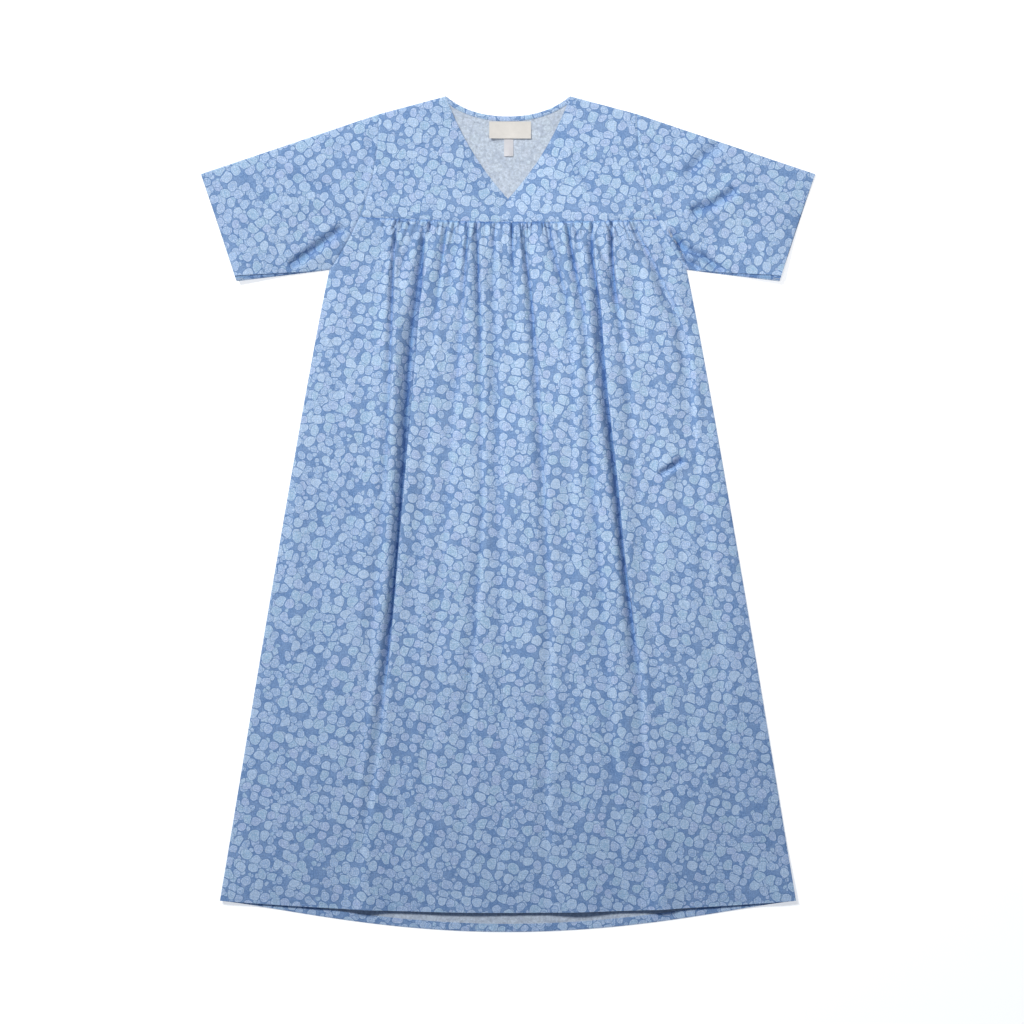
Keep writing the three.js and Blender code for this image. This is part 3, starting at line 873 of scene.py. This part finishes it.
def skirtPlan(hem, columns, rows, tables, topY):
    t = np.linspace(0, 1, 2000)
    start = gridLook["rowStart"]
    ys = topY + (gown["hemCornerY"] - topY) * (start * t + (1 - start) * t * t)
    dent = np.exp(-(((ys - skirtLook["dentY"]) / gridLook["dentReach"]) ** 2))
    closer = 1 + gridLook["dentRows"] * dent
    ys = np.interp(np.linspace(0, closer.sum(), rows), np.cumsum(closer) - closer[0], ys)
    half = bodyHalf(ys)
    anchors = [-half, *(np.interp(ys, table[0], table[1]) for table in tables), half]
    widths = np.diff([a[rows // 3] for a in anchors])
    counts = np.maximum(np.round(columns * widths / widths.sum()).astype(int), gridLook["leastColumns"])
    parts = []
    for k, n in enumerate(counts):
        s = np.arange(n + (k == len(counts) - 1)) / n
        s = s - gridLook["foldColumns"] * np.sin(2 * math.pi * s) / (2 * math.pi)
        parts.append(anchors[k][:, None] * (1 - s) + anchors[k + 1][:, None] * s)
    x = np.hstack(parts)
    down = ((topY - ys) / (topY - gown["hemCornerY"]))[:, None]
    return x, ys[:, None] - down * hemRise(x / half[:, None], hem)


def makeFrontSkirt():
    topY = gown["yokeY"] + skirtLook["tuckUnder"]
    x, y = skirtPlan(hems["front"], skirtLook["columns"], skirtLook["rows"], foldTables, topY)
    lowest = skirtLook["bendDownTo"]
    share = np.clip((y - lowest) / (topY - lowest), 0, 1)
    newY = y + (yokeSeamY(x) - gown["yokeY"]) * share**2
    x = x * (1 + (bodyHalf(newY) / bodyHalf(y) - 1) * (np.abs(x) / bodyHalf(y)) ** 4)
    y = newY
    z = skirtZ(x, y)
    x = x - leanOver(x, y)
    # painted shade: folds lower than the cloth beside them, the dents, and a strip just under the yoke seam
    # are darkened in the colour
    reach = skirtLook["around"]
    around = np.pad(z, ((0, 0), (reach, reach)), mode="edge")
    around = np.mean([around[:, k : k + z.shape[1]] for k in range(2 * reach + 1)], axis=0)
    paintedShades = np.clip((around - z) / skirtLook["paintedShadeDepth"], 0, 1) ** skirtLook["paintedShadeCurve"]
    underYoke = np.exp(-((np.maximum(yokeSeamY(x) - y, 0) / skirtLook["seamShade"]) ** 2))
    paintedShades = np.maximum(np.maximum(paintedShades, creaseShade(x, y)), underYoke)
    run = np.hstack([np.zeros((len(x), 1)), np.cumsum(np.hypot(np.diff(x), np.diff(z)), axis=1)])
    middle = np.array([np.interp(0, x[r], run[r]) for r in range(len(x))])
    rowY = y[:, :1]
    near = np.exp(-(((rowY - rowY.T) / skirtLook["evenOut"]) ** 2))
    spare = (near / near.sum(1, keepdims=True)) @ (run - middle[:, None] - x)  # what the folds take up
    flat = np.dstack([x + spare, y])
    skirt = (np.dstack([x, y, z]), flat, True)
    o = clothPiece("frontSkirt", [skirt], sheetFaces, paintedShades=[paintedShades])
    declare(o, "body", ["front_skirt"])
    return o


def makeBackSkirt():  # each piece's flat cloth is shifted by its own amount, so that no two prints are alike
    x, y = skirtPlan(hems["back"], *skirtLook["backGrid"], [], gown["yokeY"])
    skirt = (np.dstack([x, y, backZ(x, y)]), np.dstack([x + skirtLook["backShift"], y]), False)
    o = clothPiece("backSkirt", [skirt], sheetFaces)
    declare(o, "body", ["back_skirt"])
    return o


makeBackSkirt()
frontSkirt = makeFrontSkirt()
print("skirt ready")

# Yokes
yokeLook = {"rows": 90, "columns": 100, "edgeDrop": 0.0012, "edgeReach": 0.004, "shifts": (2.1, 3.3)}


def yokeZ(x, y):  # the front yoke turns down at its gathered lower edge
    fromEdge = np.clip((y - yokeSeamY(x)) / yokeLook["edgeReach"], 0, 1)
    return frontZ(x, y) - yokeLook["edgeDrop"] * (1 - fromEdge) ** 2


def yokePatches(inner, top, seamAt, height, printUp, shift):
    patches = []
    for side in (1, -1):
        armY = armholeLine[:, 1]
        crossing = np.interp(0, seamAt(armholeLine[:, 0] * side) - armY, armY)
        seamX = np.linspace(0, float(bodyHalf(crossing)), 40)
        seam = np.stack([seamX, seamAt(seamX * side)], -1)
        armSide = np.vstack([seam[-1], armholeLine[armY > crossing + 0.001][::-1]])
        middle = np.vstack([seam[0], inner])
        plan = fillBetween(seam, top, middle, armSide, yokeLook["rows"], yokeLook["columns"])
        plan = plan * np.array((side, 1))
        points = np.dstack([plan, height(plan[..., 0], plan[..., 1])])
        patches.append((points, plan + np.array((shift, 0)), printUp))
    return patches


def backSeamY(x):
    return gown["yokeY"] + 0 * x


def makeYokes():
    onFront, onRear = yokeLook["shifts"]
    front = yokePatches(vLine, [neckPoint, armTop], yokeSeamY, yokeZ, True, onFront)
    back = yokePatches([backNeck], np.vstack([backNeckLine, armTop]), backSeamY, backZ, False, onRear)
    pieces = []
    for name, node, patches in (("frontYoke", "front_yoke", front), ("backYoke", "back_yoke", back)):
        # painted shade in the front yoke's dents; none on the back yoke
        strength = name == "frontYoke"
        shades = [creaseShade(points[..., 0], points[..., 1]) * strength for points, _, _ in patches]
        o = clothPiece(name, patches, sheetFaces, paintedShades=shades)
        declare(o, "body", [node])
        pieces.append(o)
    return pieces


frontYoke = makeYokes()[0]
print("yokes ready")

# Sleeves: tubes from the armhole to the cuff, lying flat
sleeveLook = {
    "rings": 100,
    "across": 70,
    "shifts": {"left": 5.2, "right": 7.7},
    "hemShift": 0.4,
    "hemDepth": 0.02,
    "hemEnd": 0.9985,  # as a share of the sleeve's length
    "hemRings": 8,
    "hemInset": 0.00062,
    "hemThickness": 0.0004,
    "roll": 0.0078,  # how far the underarm seam has rolled to the front at the cuff
    "lipRise": 0.0022,  # how much higher the front's edge is than the rolled strip under it
    "sag": 0.0012,  # bow of the cuff's edge
    "blend": 0.024,  # half the width of a band about the sleeve's fold line
    "tuck": 0.0006,  # how much lower its inner end lies than the cloth it is sewn to
    "tuckUnder": 0.004,  # how far that end runs under it, as a share of the sleeve's length
    "tuckReach": 0.008,
    # painted shade: a dark line along the armhole seam, its reach, and a darker rolled strip under the lower
    # edge
    "seamShade": {"left": 0.9, "right": 0.4},
    "seamShadeReach": 0.0022,
    "lipShade": 0.6,
    "lipTurns": (0.3, 0.7, 0.97, 1.0),  # the columns that turn from the back up to the front's edge
    "lipHeights": (0.4, 0.5, 0.55, 1.0),
    "lipFull": 0.004,  # roll at which the lip stands at its full height
    "lipReach": 0.012,
    "rollStart": (1.15, 0.08),  # the roll's slope along the sleeve, and where it starts
    "edgeGap": 0.0002,
    "ringStart": 0.55,  # closer rings near the armhole
    "closer": 0.8,  # closer columns near the edges
    "bowAt": (1.05, 8),  # how far down the cuff the bow reaches, and how late along the sleeve it comes
    "clear": 1.5,  # how far an inner ring keeps off the edges, in insets
    "measured": 10,  # a column clear of the top edge
}
sleeveReach = math.hypot(cuffTop[0] - armTop[0], cuffTop[1] - armTop[1])


def sleevePlan(q, p):  # q runs from the armhole to the cuff, p from the top edge to the lower edge
    run = runAlong(armholeLine)
    arm = np.stack([np.interp(p * run[-1], run, armholeLine[:, k]) for k in (0, 1)], -1)
    cuff = np.array(cuffTop) * (1 - p[..., None]) + np.array(cuffBottom) * p[..., None]
    return arm * (1 - q[..., None]) + cuff * q[..., None]


def downSleeve(plan):  # distance from the top edge
    rel = plan - np.array(armTop)
    return -rel[..., 0] * slopeSin - rel[..., 1] * slopeCos


def alongSleeve(plan):
    rel = plan - np.array(armTop)
    return rel[..., 0] * slopeCos - rel[..., 1] * slopeSin


def sleevePatches(side, q0, q1, rings, inset, shift):
    t = np.linspace(0, 1, rings)[:, None]
    ringStart = sleeveLook["ringStart"]
    q = q0 + (q1 - q0) * (ringStart * t + (1 - ringStart) * t * t)
    ends = sleevePlan(np.hstack([q, q]), np.tile((0.0, 1.0), (rings, 1)))
    width = np.linalg.norm(ends[:, 1] - ends[:, 0], axis=1)[:, None]
    slope, start = sleeveLook["rollStart"]
    roll = sleeveLook["roll"] * np.clip(q * slope - start, 0, 1)
    tidy = inset * sleeveLook["clear"] / width
    s = np.linspace(0, 1, sleeveLook["across"])[None]
    s = s - sleeveLook["closer"] * np.sin(2 * math.pi * s) / (2 * math.pi)
    last = 1 - (roll + sleeveLook["edgeGap"] * (roll > 0)) / width - tidy
    p = tidy + (last - tidy) * s
    plan = sleevePlan(q + 0 * p, p)
    corner = cornerLift(plan[..., 0], plan[..., 1])
    z = frontZ(plan[..., 0] * side, plan[..., 1]) - inset
    fromSeam = width * (last - p)
    rolled = np.clip(roll / sleeveLook["lipFull"], 0, 1)
    rise = sleeveLook["lipRise"] * rolled * np.exp(-((fromSeam / sleeveLook["lipReach"]) ** 2))
    z = np.maximum(z, lie["edgeZ"] + rise + corner - inset)
    sewn = np.clip(1 - (q + sleeveLook["tuckUnder"]) / sleeveLook["tuckReach"], 0, 1)
    tuck = sleeveLook["tuck"] * sewn
    z = np.maximum(z - tuck, lie["edgeZ"] + corner - 0.5 * inset)
    reach, late = sleeveLook["bowAt"]
    bow = sleeveLook["sag"] * np.sin(math.pi * np.clip(p * reach, 0, 1)) * np.maximum(q, 0) ** late
    plan = plan - bow[..., None] * np.array((slopeCos, -slopeSin))
    front = [plan, z, downSleeve(plan), True]
    under = p[:, :1] + (1 - tidy - p[:, :1]) * s
    plan = sleevePlan(q + 0 * under, under)
    backHeight = backZ(plan[..., 0] * side, plan[..., 1]) + inset + tuck
    lip = 1 - tidy - (1 - tidy - last) * np.array(sleeveLook["lipTurns"])
    plan = np.concatenate([plan, sleevePlan(q + 0 * lip, lip)], 1)
    backEdge = backHeight[:, -1:]
    lipHeight = backEdge + (z[:, -1:] - backEdge) * np.array(sleeveLook["lipHeights"])
    girth = -downSleeve(plan)
    lips = lip.shape[1]
    girth[:, -lips:] = 2 * girth[:, -lips - 1 : -lips] - girth[:, -lips:]
    back = [plan, np.hstack([backHeight, lipHeight]), girth, False]
    topZ = (front[1][:, 0] + back[1][:, 0]) / 2
    made = []
    for plan, z, girth, up in (front, back):
        z[:, 0] = topZ
        points = np.dstack([plan[..., 0] * side, plan[..., 1], z])
        made.append((points, np.dstack([girth + shift, alongSleeve(plan) + shift]), up))
    made[1][0][:, -1] = made[0][0][:, -1]
    return made


def makeSleeve(side, word):
    shift = sleeveLook["shifts"][word]
    patches = sleevePatches(side, -sleeveLook["tuckUnder"], 1, sleeveLook["rings"], 0, shift)
    front, back = patches[0][0], patches[1][0]
    run = runAlong(front[:, sleeveLook["measured"], :2])[:, None]
    # painted shade along the armhole seam, in the dents, and on the rolled strip under the lower edge
    seam = sleeveLook["seamShade"][word] * np.exp(-((run / sleeveLook["seamShadeReach"]) ** 2))
    shades = [np.maximum(creaseShade(front[..., 0], front[..., 1]), seam), 0 * back[..., 0]]
    shades[1][:, -len(sleeveLook["lipTurns"]) :] = sleeveLook["lipShade"]
    sleeve = clothPiece(word + "Sleeve", patches, sheetFaces, paintedShades=shades)
    bend = sleeveLook["blend"]
    start, end = (side * (foldX - bend), 0, 0), (side * (foldX + bend), 0, 0)
    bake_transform(sleeve)
    nodes = [word + "_sleeve", word + "_sleeve_head"]
    declare(sleeve, None, nodes)
    start = 1 - sleeveLook["hemDepth"] / sleeveReach
    end, rings, shift = sleeveLook["hemEnd"], sleeveLook["hemRings"], shift + sleeveLook["hemShift"]
    ring = sleevePatches(side, start, end, rings, sleeveLook["hemInset"], shift)
    hem = clothPiece(word + "SleeveHem", ring, sheetFaces[::-1], sleeveLook["hemThickness"])
    nodes = [word + "_sleeve_hem"]
    declare(hem, word + "_sleeve", nodes)
    return sleeve


sleeves = {word: makeSleeve(side, word) for side, word in ((1, "left"), (-1, "right"))}
print("sleeves ready")

# Hems, bindings, facings and seam allowances
trim = {
    "thickness": 0.0004,
    "gap": 0.00006,  # between cloth that lies on cloth
    "hemDepth": 0.01,
    "hemStart": 0.001,
    "hemEnds": 0.003,
    "hemRows": [(-0.0003, 0.0002), (0, 0.0004)],  # the back hem's rows turned up round its edge
    "facingWidth": 0.013,
    "facingStart": 0.0002,
    "bindingWidth": 0.0065,
    "bindingRows": [  # rolled over the edge, then lying on the cloth
        (-0.0005, -0.0003),
        (-0.0003, 0.0004),
        (0.0006, 0.0008),
        (0.00325, 0.0009),
        (0.0057, 0.0008),
        (0.0065, 0.00045),
    ],
    "allowance": 0.008,
    "allowanceStart": 0.0007,
    "overEdge": 0.0003,  # how far in from the edge the front hem starts
    "yokeSeamEnds": 0.012,
    "yokeSeamRise": 0.0028,
    "cuts": {  # each strip's place on the cut cloth, its step, and what it leaves free at its ends
        "frontHem": (8.8, 0.0028),
        "backHem": (9.3, 0.005),
        "neckFacing": (10.4, 0.004, 0.006, 0.008),
        "binding": (11.9, 0.003, 0.002, 0.002),
        "side": (12.2, 0.008, 0.012, 0.012),
        "shoulder": (12.9, 0.006, 0.014, 0.006),
        "armholeFront": (13.3, 0.006, 0.01, 0.02),
        "armholeBack": (13.9, 0.006, 0.01, 0.02),
        "frontYoke": (14.4, 0.005),
        "backYoke": (14.9, 0.005),
    },
}
onBack = trim["gap"] + trim["thickness"]  # top of a strip that lies on the inside of the back
underFront = -trim["gap"]  # top of a strip that lies under the front


def makeStrip(name, node, patches, faces):
    o = clothPiece(name, patches, faces, trim["thickness"])
    declare(o, "body", [node])
    return o


def onSide(line, side):
    return np.array(line, float) * np.array((side, 1))


def toLeft(rows, sign):
    return [(offset * sign, lift) for offset, lift in rows]


def ontoBack(x, y):
    return backInside(x, y) + onBack


def beneathFront(x, y):
    return frontInside(x, y) + underFront


def beneathSkirt(x, y):
    return skirtZ(x, y) - gown["clothThickness"] + underFront


def beneathYoke(x, y):
    return yokeZ(x, y) - gown["clothThickness"] + underFront


def hemLine(hem, inset):
    xs = np.linspace(-gown["hemHalf"] + inset, gown["hemHalf"] - inset, 200)
    return np.stack([xs, hemY(xs, hem)], -1)


def makeHems():
    depth, cuts = trim["hemDepth"], trim["cuts"]
    rows = [(trim["overEdge"] + depth * s, 0) for s in np.linspace(0, 1, 5)]
    line = hemLine(hems["front"], trim["hemEnds"])
    front = ribbon(line, rows, beneathSkirt, True, *cuts["frontHem"])
    makeStrip("frontHem", "front_hem", [front], sheetFaces[::-1])
    rows = [*trim["hemRows"], *((trim["hemStart"] + depth * s, onBack) for s in np.linspace(0, 1, 4))]
    line = hemLine(hems["back"], trim["hemEnds"])
    back = ribbon(line, rows, backInside, True, *cuts["backHem"])
    return makeStrip("backHem", "back_hem", [back], sheetFaces)


def makeNeck():
    rows = [(-trim["facingStart"] - trim["facingWidth"] * s, 0) for s in np.linspace(0, 1, 5)]
    for side, word in ((1, "left"), (-1, "right")):
        line, under = onSide(vLine, side), toLeft(rows, side)
        strip = ribbon(line, under, beneathFront, False, *trim["cuts"]["neckFacing"])
        makeStrip(word + "NeckFacing", word + "_neck_facing", [strip], sheetFaces)
    rows = toLeft(trim["bindingRows"], -1)
    band = ribbon(bindingLine, rows, backInside, True, *trim["cuts"]["binding"])
    return makeStrip("backNeckBinding", "back_neck_binding", [band], sheetFaces)


def makeSeams():
    cuts = trim["cuts"]
    lying = [(trim["allowanceStart"] + trim["allowance"] * s, 0) for s in (0, 0.33, 0.66, 1)]
    for side, word in ((1, "left"), (-1, "right")):
        inward, outward = toLeft(lying, -side), toLeft(lying, side)
        seam = ribbon(onSide(sideLine, side), inward, ontoBack, True, *cuts["side"])
        makeStrip(word + "SideSeam", word + "_side_seam", [seam], seamFaces)
        seam = ribbon(onSide([neckPoint, armTop], side), inward, ontoBack, True, *cuts["shoulder"])
        makeStrip(word + "ShoulderSeam", word + "_shoulder_seam", [seam], seamFaces)
        arm = onSide(armholeLine, side)
        front = ribbon(arm, outward, beneathFront, False, *cuts["armholeFront"])
        back = ribbon(arm, outward, ontoBack, True, *cuts["armholeBack"])
        makeStrip(word + "ArmholeSeam", word + "_armhole_seam", [front, back], seamFaces)
    ends = skirtTopHalf - trim["yokeSeamEnds"]
    xs = np.linspace(-ends, ends, 60)
    line = np.stack([xs, yokeSeamY(xs) + trim["yokeSeamRise"]], -1)
    seam = ribbon(line, lying, beneathYoke, False, *cuts["frontYoke"])
    makeStrip("frontYokeSeam", "front_yoke_seam", [seam], seamFaces)
    line = [(-ends, gown["yokeY"]), (ends, gown["yokeY"])]
    seam = ribbon(line, lying, ontoBack, True, *cuts["backYoke"])
    makeStrip("backYokeSeam", "back_yoke_seam", [seam], seamFaces)


bindingLine = np.vstack([onSide(backNeckLine, -1)[::-1], backNeckLine[1:]])
backHem = makeHems()
neckBinding = makeNeck()
makeSeams()
print("trim ready")

# Labels, blank, sewn in under the back neck binding
def topMiddle(node):
    low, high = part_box(node)
    return (low.x + high.x) / 2, high.y


label = {
    "size": (0.0585, 0.024),
    "place": topMiddle("neck_label"),
    "sizeTab": (0.013, 0.0245),
    "sizePlace": topMiddle("size_label"),
    "thickness": 0.00035,
    "lift": 0.0016,
    "curl": 1.6,  # how late towards its lower edge it lifts
    "cornerLift": 0.0018,
    "cornerStart": 0.12,  # as shares of the label's width
    "cornerSlope": 2.6,
    "sizeLift": 0.0012,
    "sizeCurl": (0.25, 1.3),  # where it starts to lift, and how late
    "sizeGap": 0.0002,
    "waves": (0.0002, 9),  # height and turns across
    "sizeWaves": (0.0004, 5),
}


def makeLabel(name, body, place, size, lift, material):  # place is the middle of its top edge
    u, s = np.meshgrid(np.linspace(-0.5, 0.5, 27), np.linspace(0, 1, 15))
    x, y = place[0] + u * size[0], place[1] - s * size[1]
    z = backInside(x, y) + label["thickness"] + lift(u, s)
    patch = (np.dstack([x, y, z]), np.dstack([x, y]), True)
    o = clothPiece(name, [patch], [material], label["thickness"])
    declare(o, body, [body])


def neckLift(u, s):
    corner = np.clip(-u - label["cornerStart"], 0, 1) * label["cornerSlope"]
    curl = label["lift"] * s ** label["curl"] + label["cornerLift"] * corner * s**2
    height, turns = label["waves"]
    return label["thickness"] + curl + height * np.sin(turns * u)


def sizeLift(u, s):
    start, late = label["sizeCurl"]
    height, turns = label["sizeWaves"]
    curl = label["sizeLift"] * np.clip(s - start, 0, 1) ** late
    return label["sizeGap"] + curl + height * np.cos(turns * u) * s


makeLabel("neckLabel", "neck_label", label["place"], label["size"], neckLift, labelCream)
makeLabel("sizeLabel", "size_label", label["sizePlace"], label["sizeTab"], sizeLift, labelWhite)
print("labels ready")

# Stitches: one small stitch, copied along each sewn line and laid on the cloth
stitching = {
    "length": 0.0022,
    "width": 0.00045,
    "pitch": 0.0028,
    "sink": 0.00006,
    "flat": 0.8,  # height as a share of the width
    "dive": 0.7,  # how far its ends go down, in widths
    "wobble": 0.12,
    "cuffSpan": (0.02, 0.94),  # from the top edge to the lower one
    "vStart": 0.003,
    "hemEnds": 0.006,
    "insets": {"neck": 0.0045, "cuff": 0.002, "binding": 0.0013, "back": 0.0004, "front": 0.001},
    "rows": {  # what each row leaves free at its ends, and its seed
        "neck": (0.0005, 0.003, 3),
        "cuff": (0, 0, 4),
        "binding": (0.006, 0.006, 5),
        "back": (0.01, 0.01, 6),
        "front": (0.01, 0.01, 7),
    },
}
rayTop = 0.06  # well above the gown


def makeStitch():
    selectNothing()
    bpy.ops.mesh.primitive_uv_sphere_add(segments=6, ring_count=4, radius=0.5, rotation=(0, math.pi / 2, 0))
    o = bpy.context.object
    bpy.ops.object.transform_apply(location=False, rotation=True, scale=False)
    bpy.ops.object.mode_set(mode="EDIT")
    bpy.ops.mesh.select_all(action="SELECT")
    long, wide = stitching["length"], stitching["width"]
    bpy.ops.transform.resize(value=(long, wide, wide * stitching["flat"]))
    bpy.ops.object.mode_set(mode="OBJECT")
    for vertex in o.data.vertices:  # both ends dive into the cloth
        vertex.co.z -= wide * stitching["dive"] * (abs(vertex.co.x) / (long / 2)) ** 3
    bpy.ops.object.shade_smooth()
    return o


def sewRow(name, line, host, body, skipStart, skipEnd, seed):
    rng = np.random.default_rng(seed)
    tree = BVHTree.FromPolygons([v.co for v in host.data.vertices], [p.vertices for p in host.data.polygons])
    place, normal, _ = evenly(line, stitching["pitch"], skipStart, skipEnd)
    copies = []
    for (x, y), (nx, ny) in zip(place, normal):
        spot, facing, _, _ = tree.ray_cast(Vector((x, y, rayTop)), Vector((0, 0, -1)))
        if not spot:
            continue
        along = Vector((ny, -nx, 0)).normalized()
        along = (along - facing * along.dot(facing)).normalized()
        across = facing.cross(along)
        across = (across + along * rng.uniform(-stitching["wobble"], stitching["wobble"])).normalized()
        along = across.cross(facing).normalized()
        copy = stitch.copy()
        copy.data = stitch.data.copy()
        turn = Matrix((along, facing.cross(along), facing)).transposed().to_4x4()
        copy.matrix_world = Matrix.Translation(spot - facing * stitching["sink"]) @ turn
        bpy.context.scene.collection.objects.link(copy)
        copies.append(copy)
    useAlone(copies[0])
    for copy in copies:
        copy.select_set(True)
    bpy.ops.object.join()
    row = bpy.context.object
    row.name = name
    row.data.materials.clear()
    row.data.materials.append(threadBlue)
    bpy.ops.object.transform_apply(location=True, rotation=True, scale=True)
    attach(row, body)


def offsetLine(line, offset, skipStart=0.0):
    place, normal, _ = evenly(line, 0.002, skipStart)
    return place + normal * offset


stitch = makeStitch()
insets, rows = stitching["insets"], stitching["rows"]
for side, word in ((1, "left"), (-1, "right")):
    line = offsetLine(onSide(vLine, side), -side * insets["neck"], stitching["vStart"])
    sewRow(word + "NeckStitches", line, frontYoke, "body", *rows["neck"])
    along = np.linspace(*stitching["cuffSpan"], 30)
    inset = sleeveLook["hemDepth"] - insets["cuff"]
    line = onSide(sleevePlan(np.full(30, 1 - inset / sleeveReach), along), side)
    sewRow(word + "CuffStitches", line, sleeves[word], word + "_sleeve", *rows["cuff"])
line = offsetLine(bindingLine, -trim["bindingWidth"] + insets["binding"])
sewRow("bindingStitches", line, neckBinding, "body", *rows["binding"])
for word, host in (("back", backHem), ("front", frontSkirt)):
    line = hemLine(hems[word], stitching["hemEnds"])
    line = offsetLine(line, trim["hemDepth"] - insets[word])
    sewRow(word + "HemStitches", line, host, "body", *rows[word])
bpy.data.objects.remove(stitch)
print("stitches ready")

# Floor, light and camera
studio = {
    "floorSize": 14,
    "floorGlow": 0.56,
    "floorColor": (0.6, 0.6, 0.6, 1),
    "cameraPlace": (0.0056, 0.0028, 3.985),
    "lens": 100,
    "sensor": 36,
    "skyStrength": 0.2,
    "skyColor": (0.69, 0.93, 1.4, 1),
    "key": {
        "place": (-3.05, 3.5, 3.95),
        "target": (0, 0.1, 0),
        "size": 1.4,
        "power": 418,
        "color": (0.955, 0.955, 0.925),
    },
    "top": {
        "place": (0.16, 0.25, 0.75),
        "target": (0.16, 0.25, 0),
        "size": 0.4,
        "power": 3.15,
        "color": (1, 0.94, 0.84),
    },
}


def makeFloor():
    selectNothing()
    bpy.ops.mesh.primitive_plane_add(size=studio["floorSize"], location=(0, 0, 0))
    floor = bpy.context.object
    floor.name = "floor"
    material, _, shader = newMaterial("floor paper")
    shader["Base Color"].default_value = studio["floorColor"]
    shader["Roughness"].default_value = 0.9
    shader["Specular IOR Level"].default_value = 0.0
    shader["Emission Color"].default_value = (1, 1, 1, 1)
    shader["Emission Strength"].default_value = studio["floorGlow"]
    floor.data.materials.append(material)
    floor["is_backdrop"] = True


def makeLight(name):
    look = studio[name]
    data = bpy.data.lights.new(name, "AREA")
    data.shape = "DISK"
    data.size = look["size"]
    data.energy = look["power"]
    data.color = look["color"]
    light = bpy.data.objects.new(name, data)
    bpy.context.scene.collection.objects.link(light)
    light.location = look["place"]
    light.visible_camera = False
    toward = Vector(look["target"]) - Vector(look["place"])
    light.rotation_euler = toward.to_track_quat("-Z", "Y").to_euler()


def makeCamera():
    data = bpy.data.cameras.new("camera")
    data.lens = studio["lens"]
    data.sensor_width = studio["sensor"]
    camera = bpy.data.objects.new("camera", data)
    bpy.context.scene.collection.objects.link(camera)
    camera.location = studio["cameraPlace"]
    bpy.context.scene.camera = camera


def makeWorld():
    world = bpy.data.worlds.new("studio")
    bpy.context.scene.world = world
    world.use_nodes = True
    sky = world.node_tree.nodes["Background"]
    sky.inputs["Color"].default_value = studio["skyColor"]
    sky.inputs["Strength"].default_value = studio["skyStrength"]
    bpy.context.scene.view_settings.view_transform = "Standard"


makeFloor()
makeLight("key")
makeLight("top")
makeCamera()
makeWorld()

sizes = {"cad": cadBox, "visual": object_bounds()}
sizes = {name: [list(map(float, corner)) for corner in box] for name, box in sizes.items()}
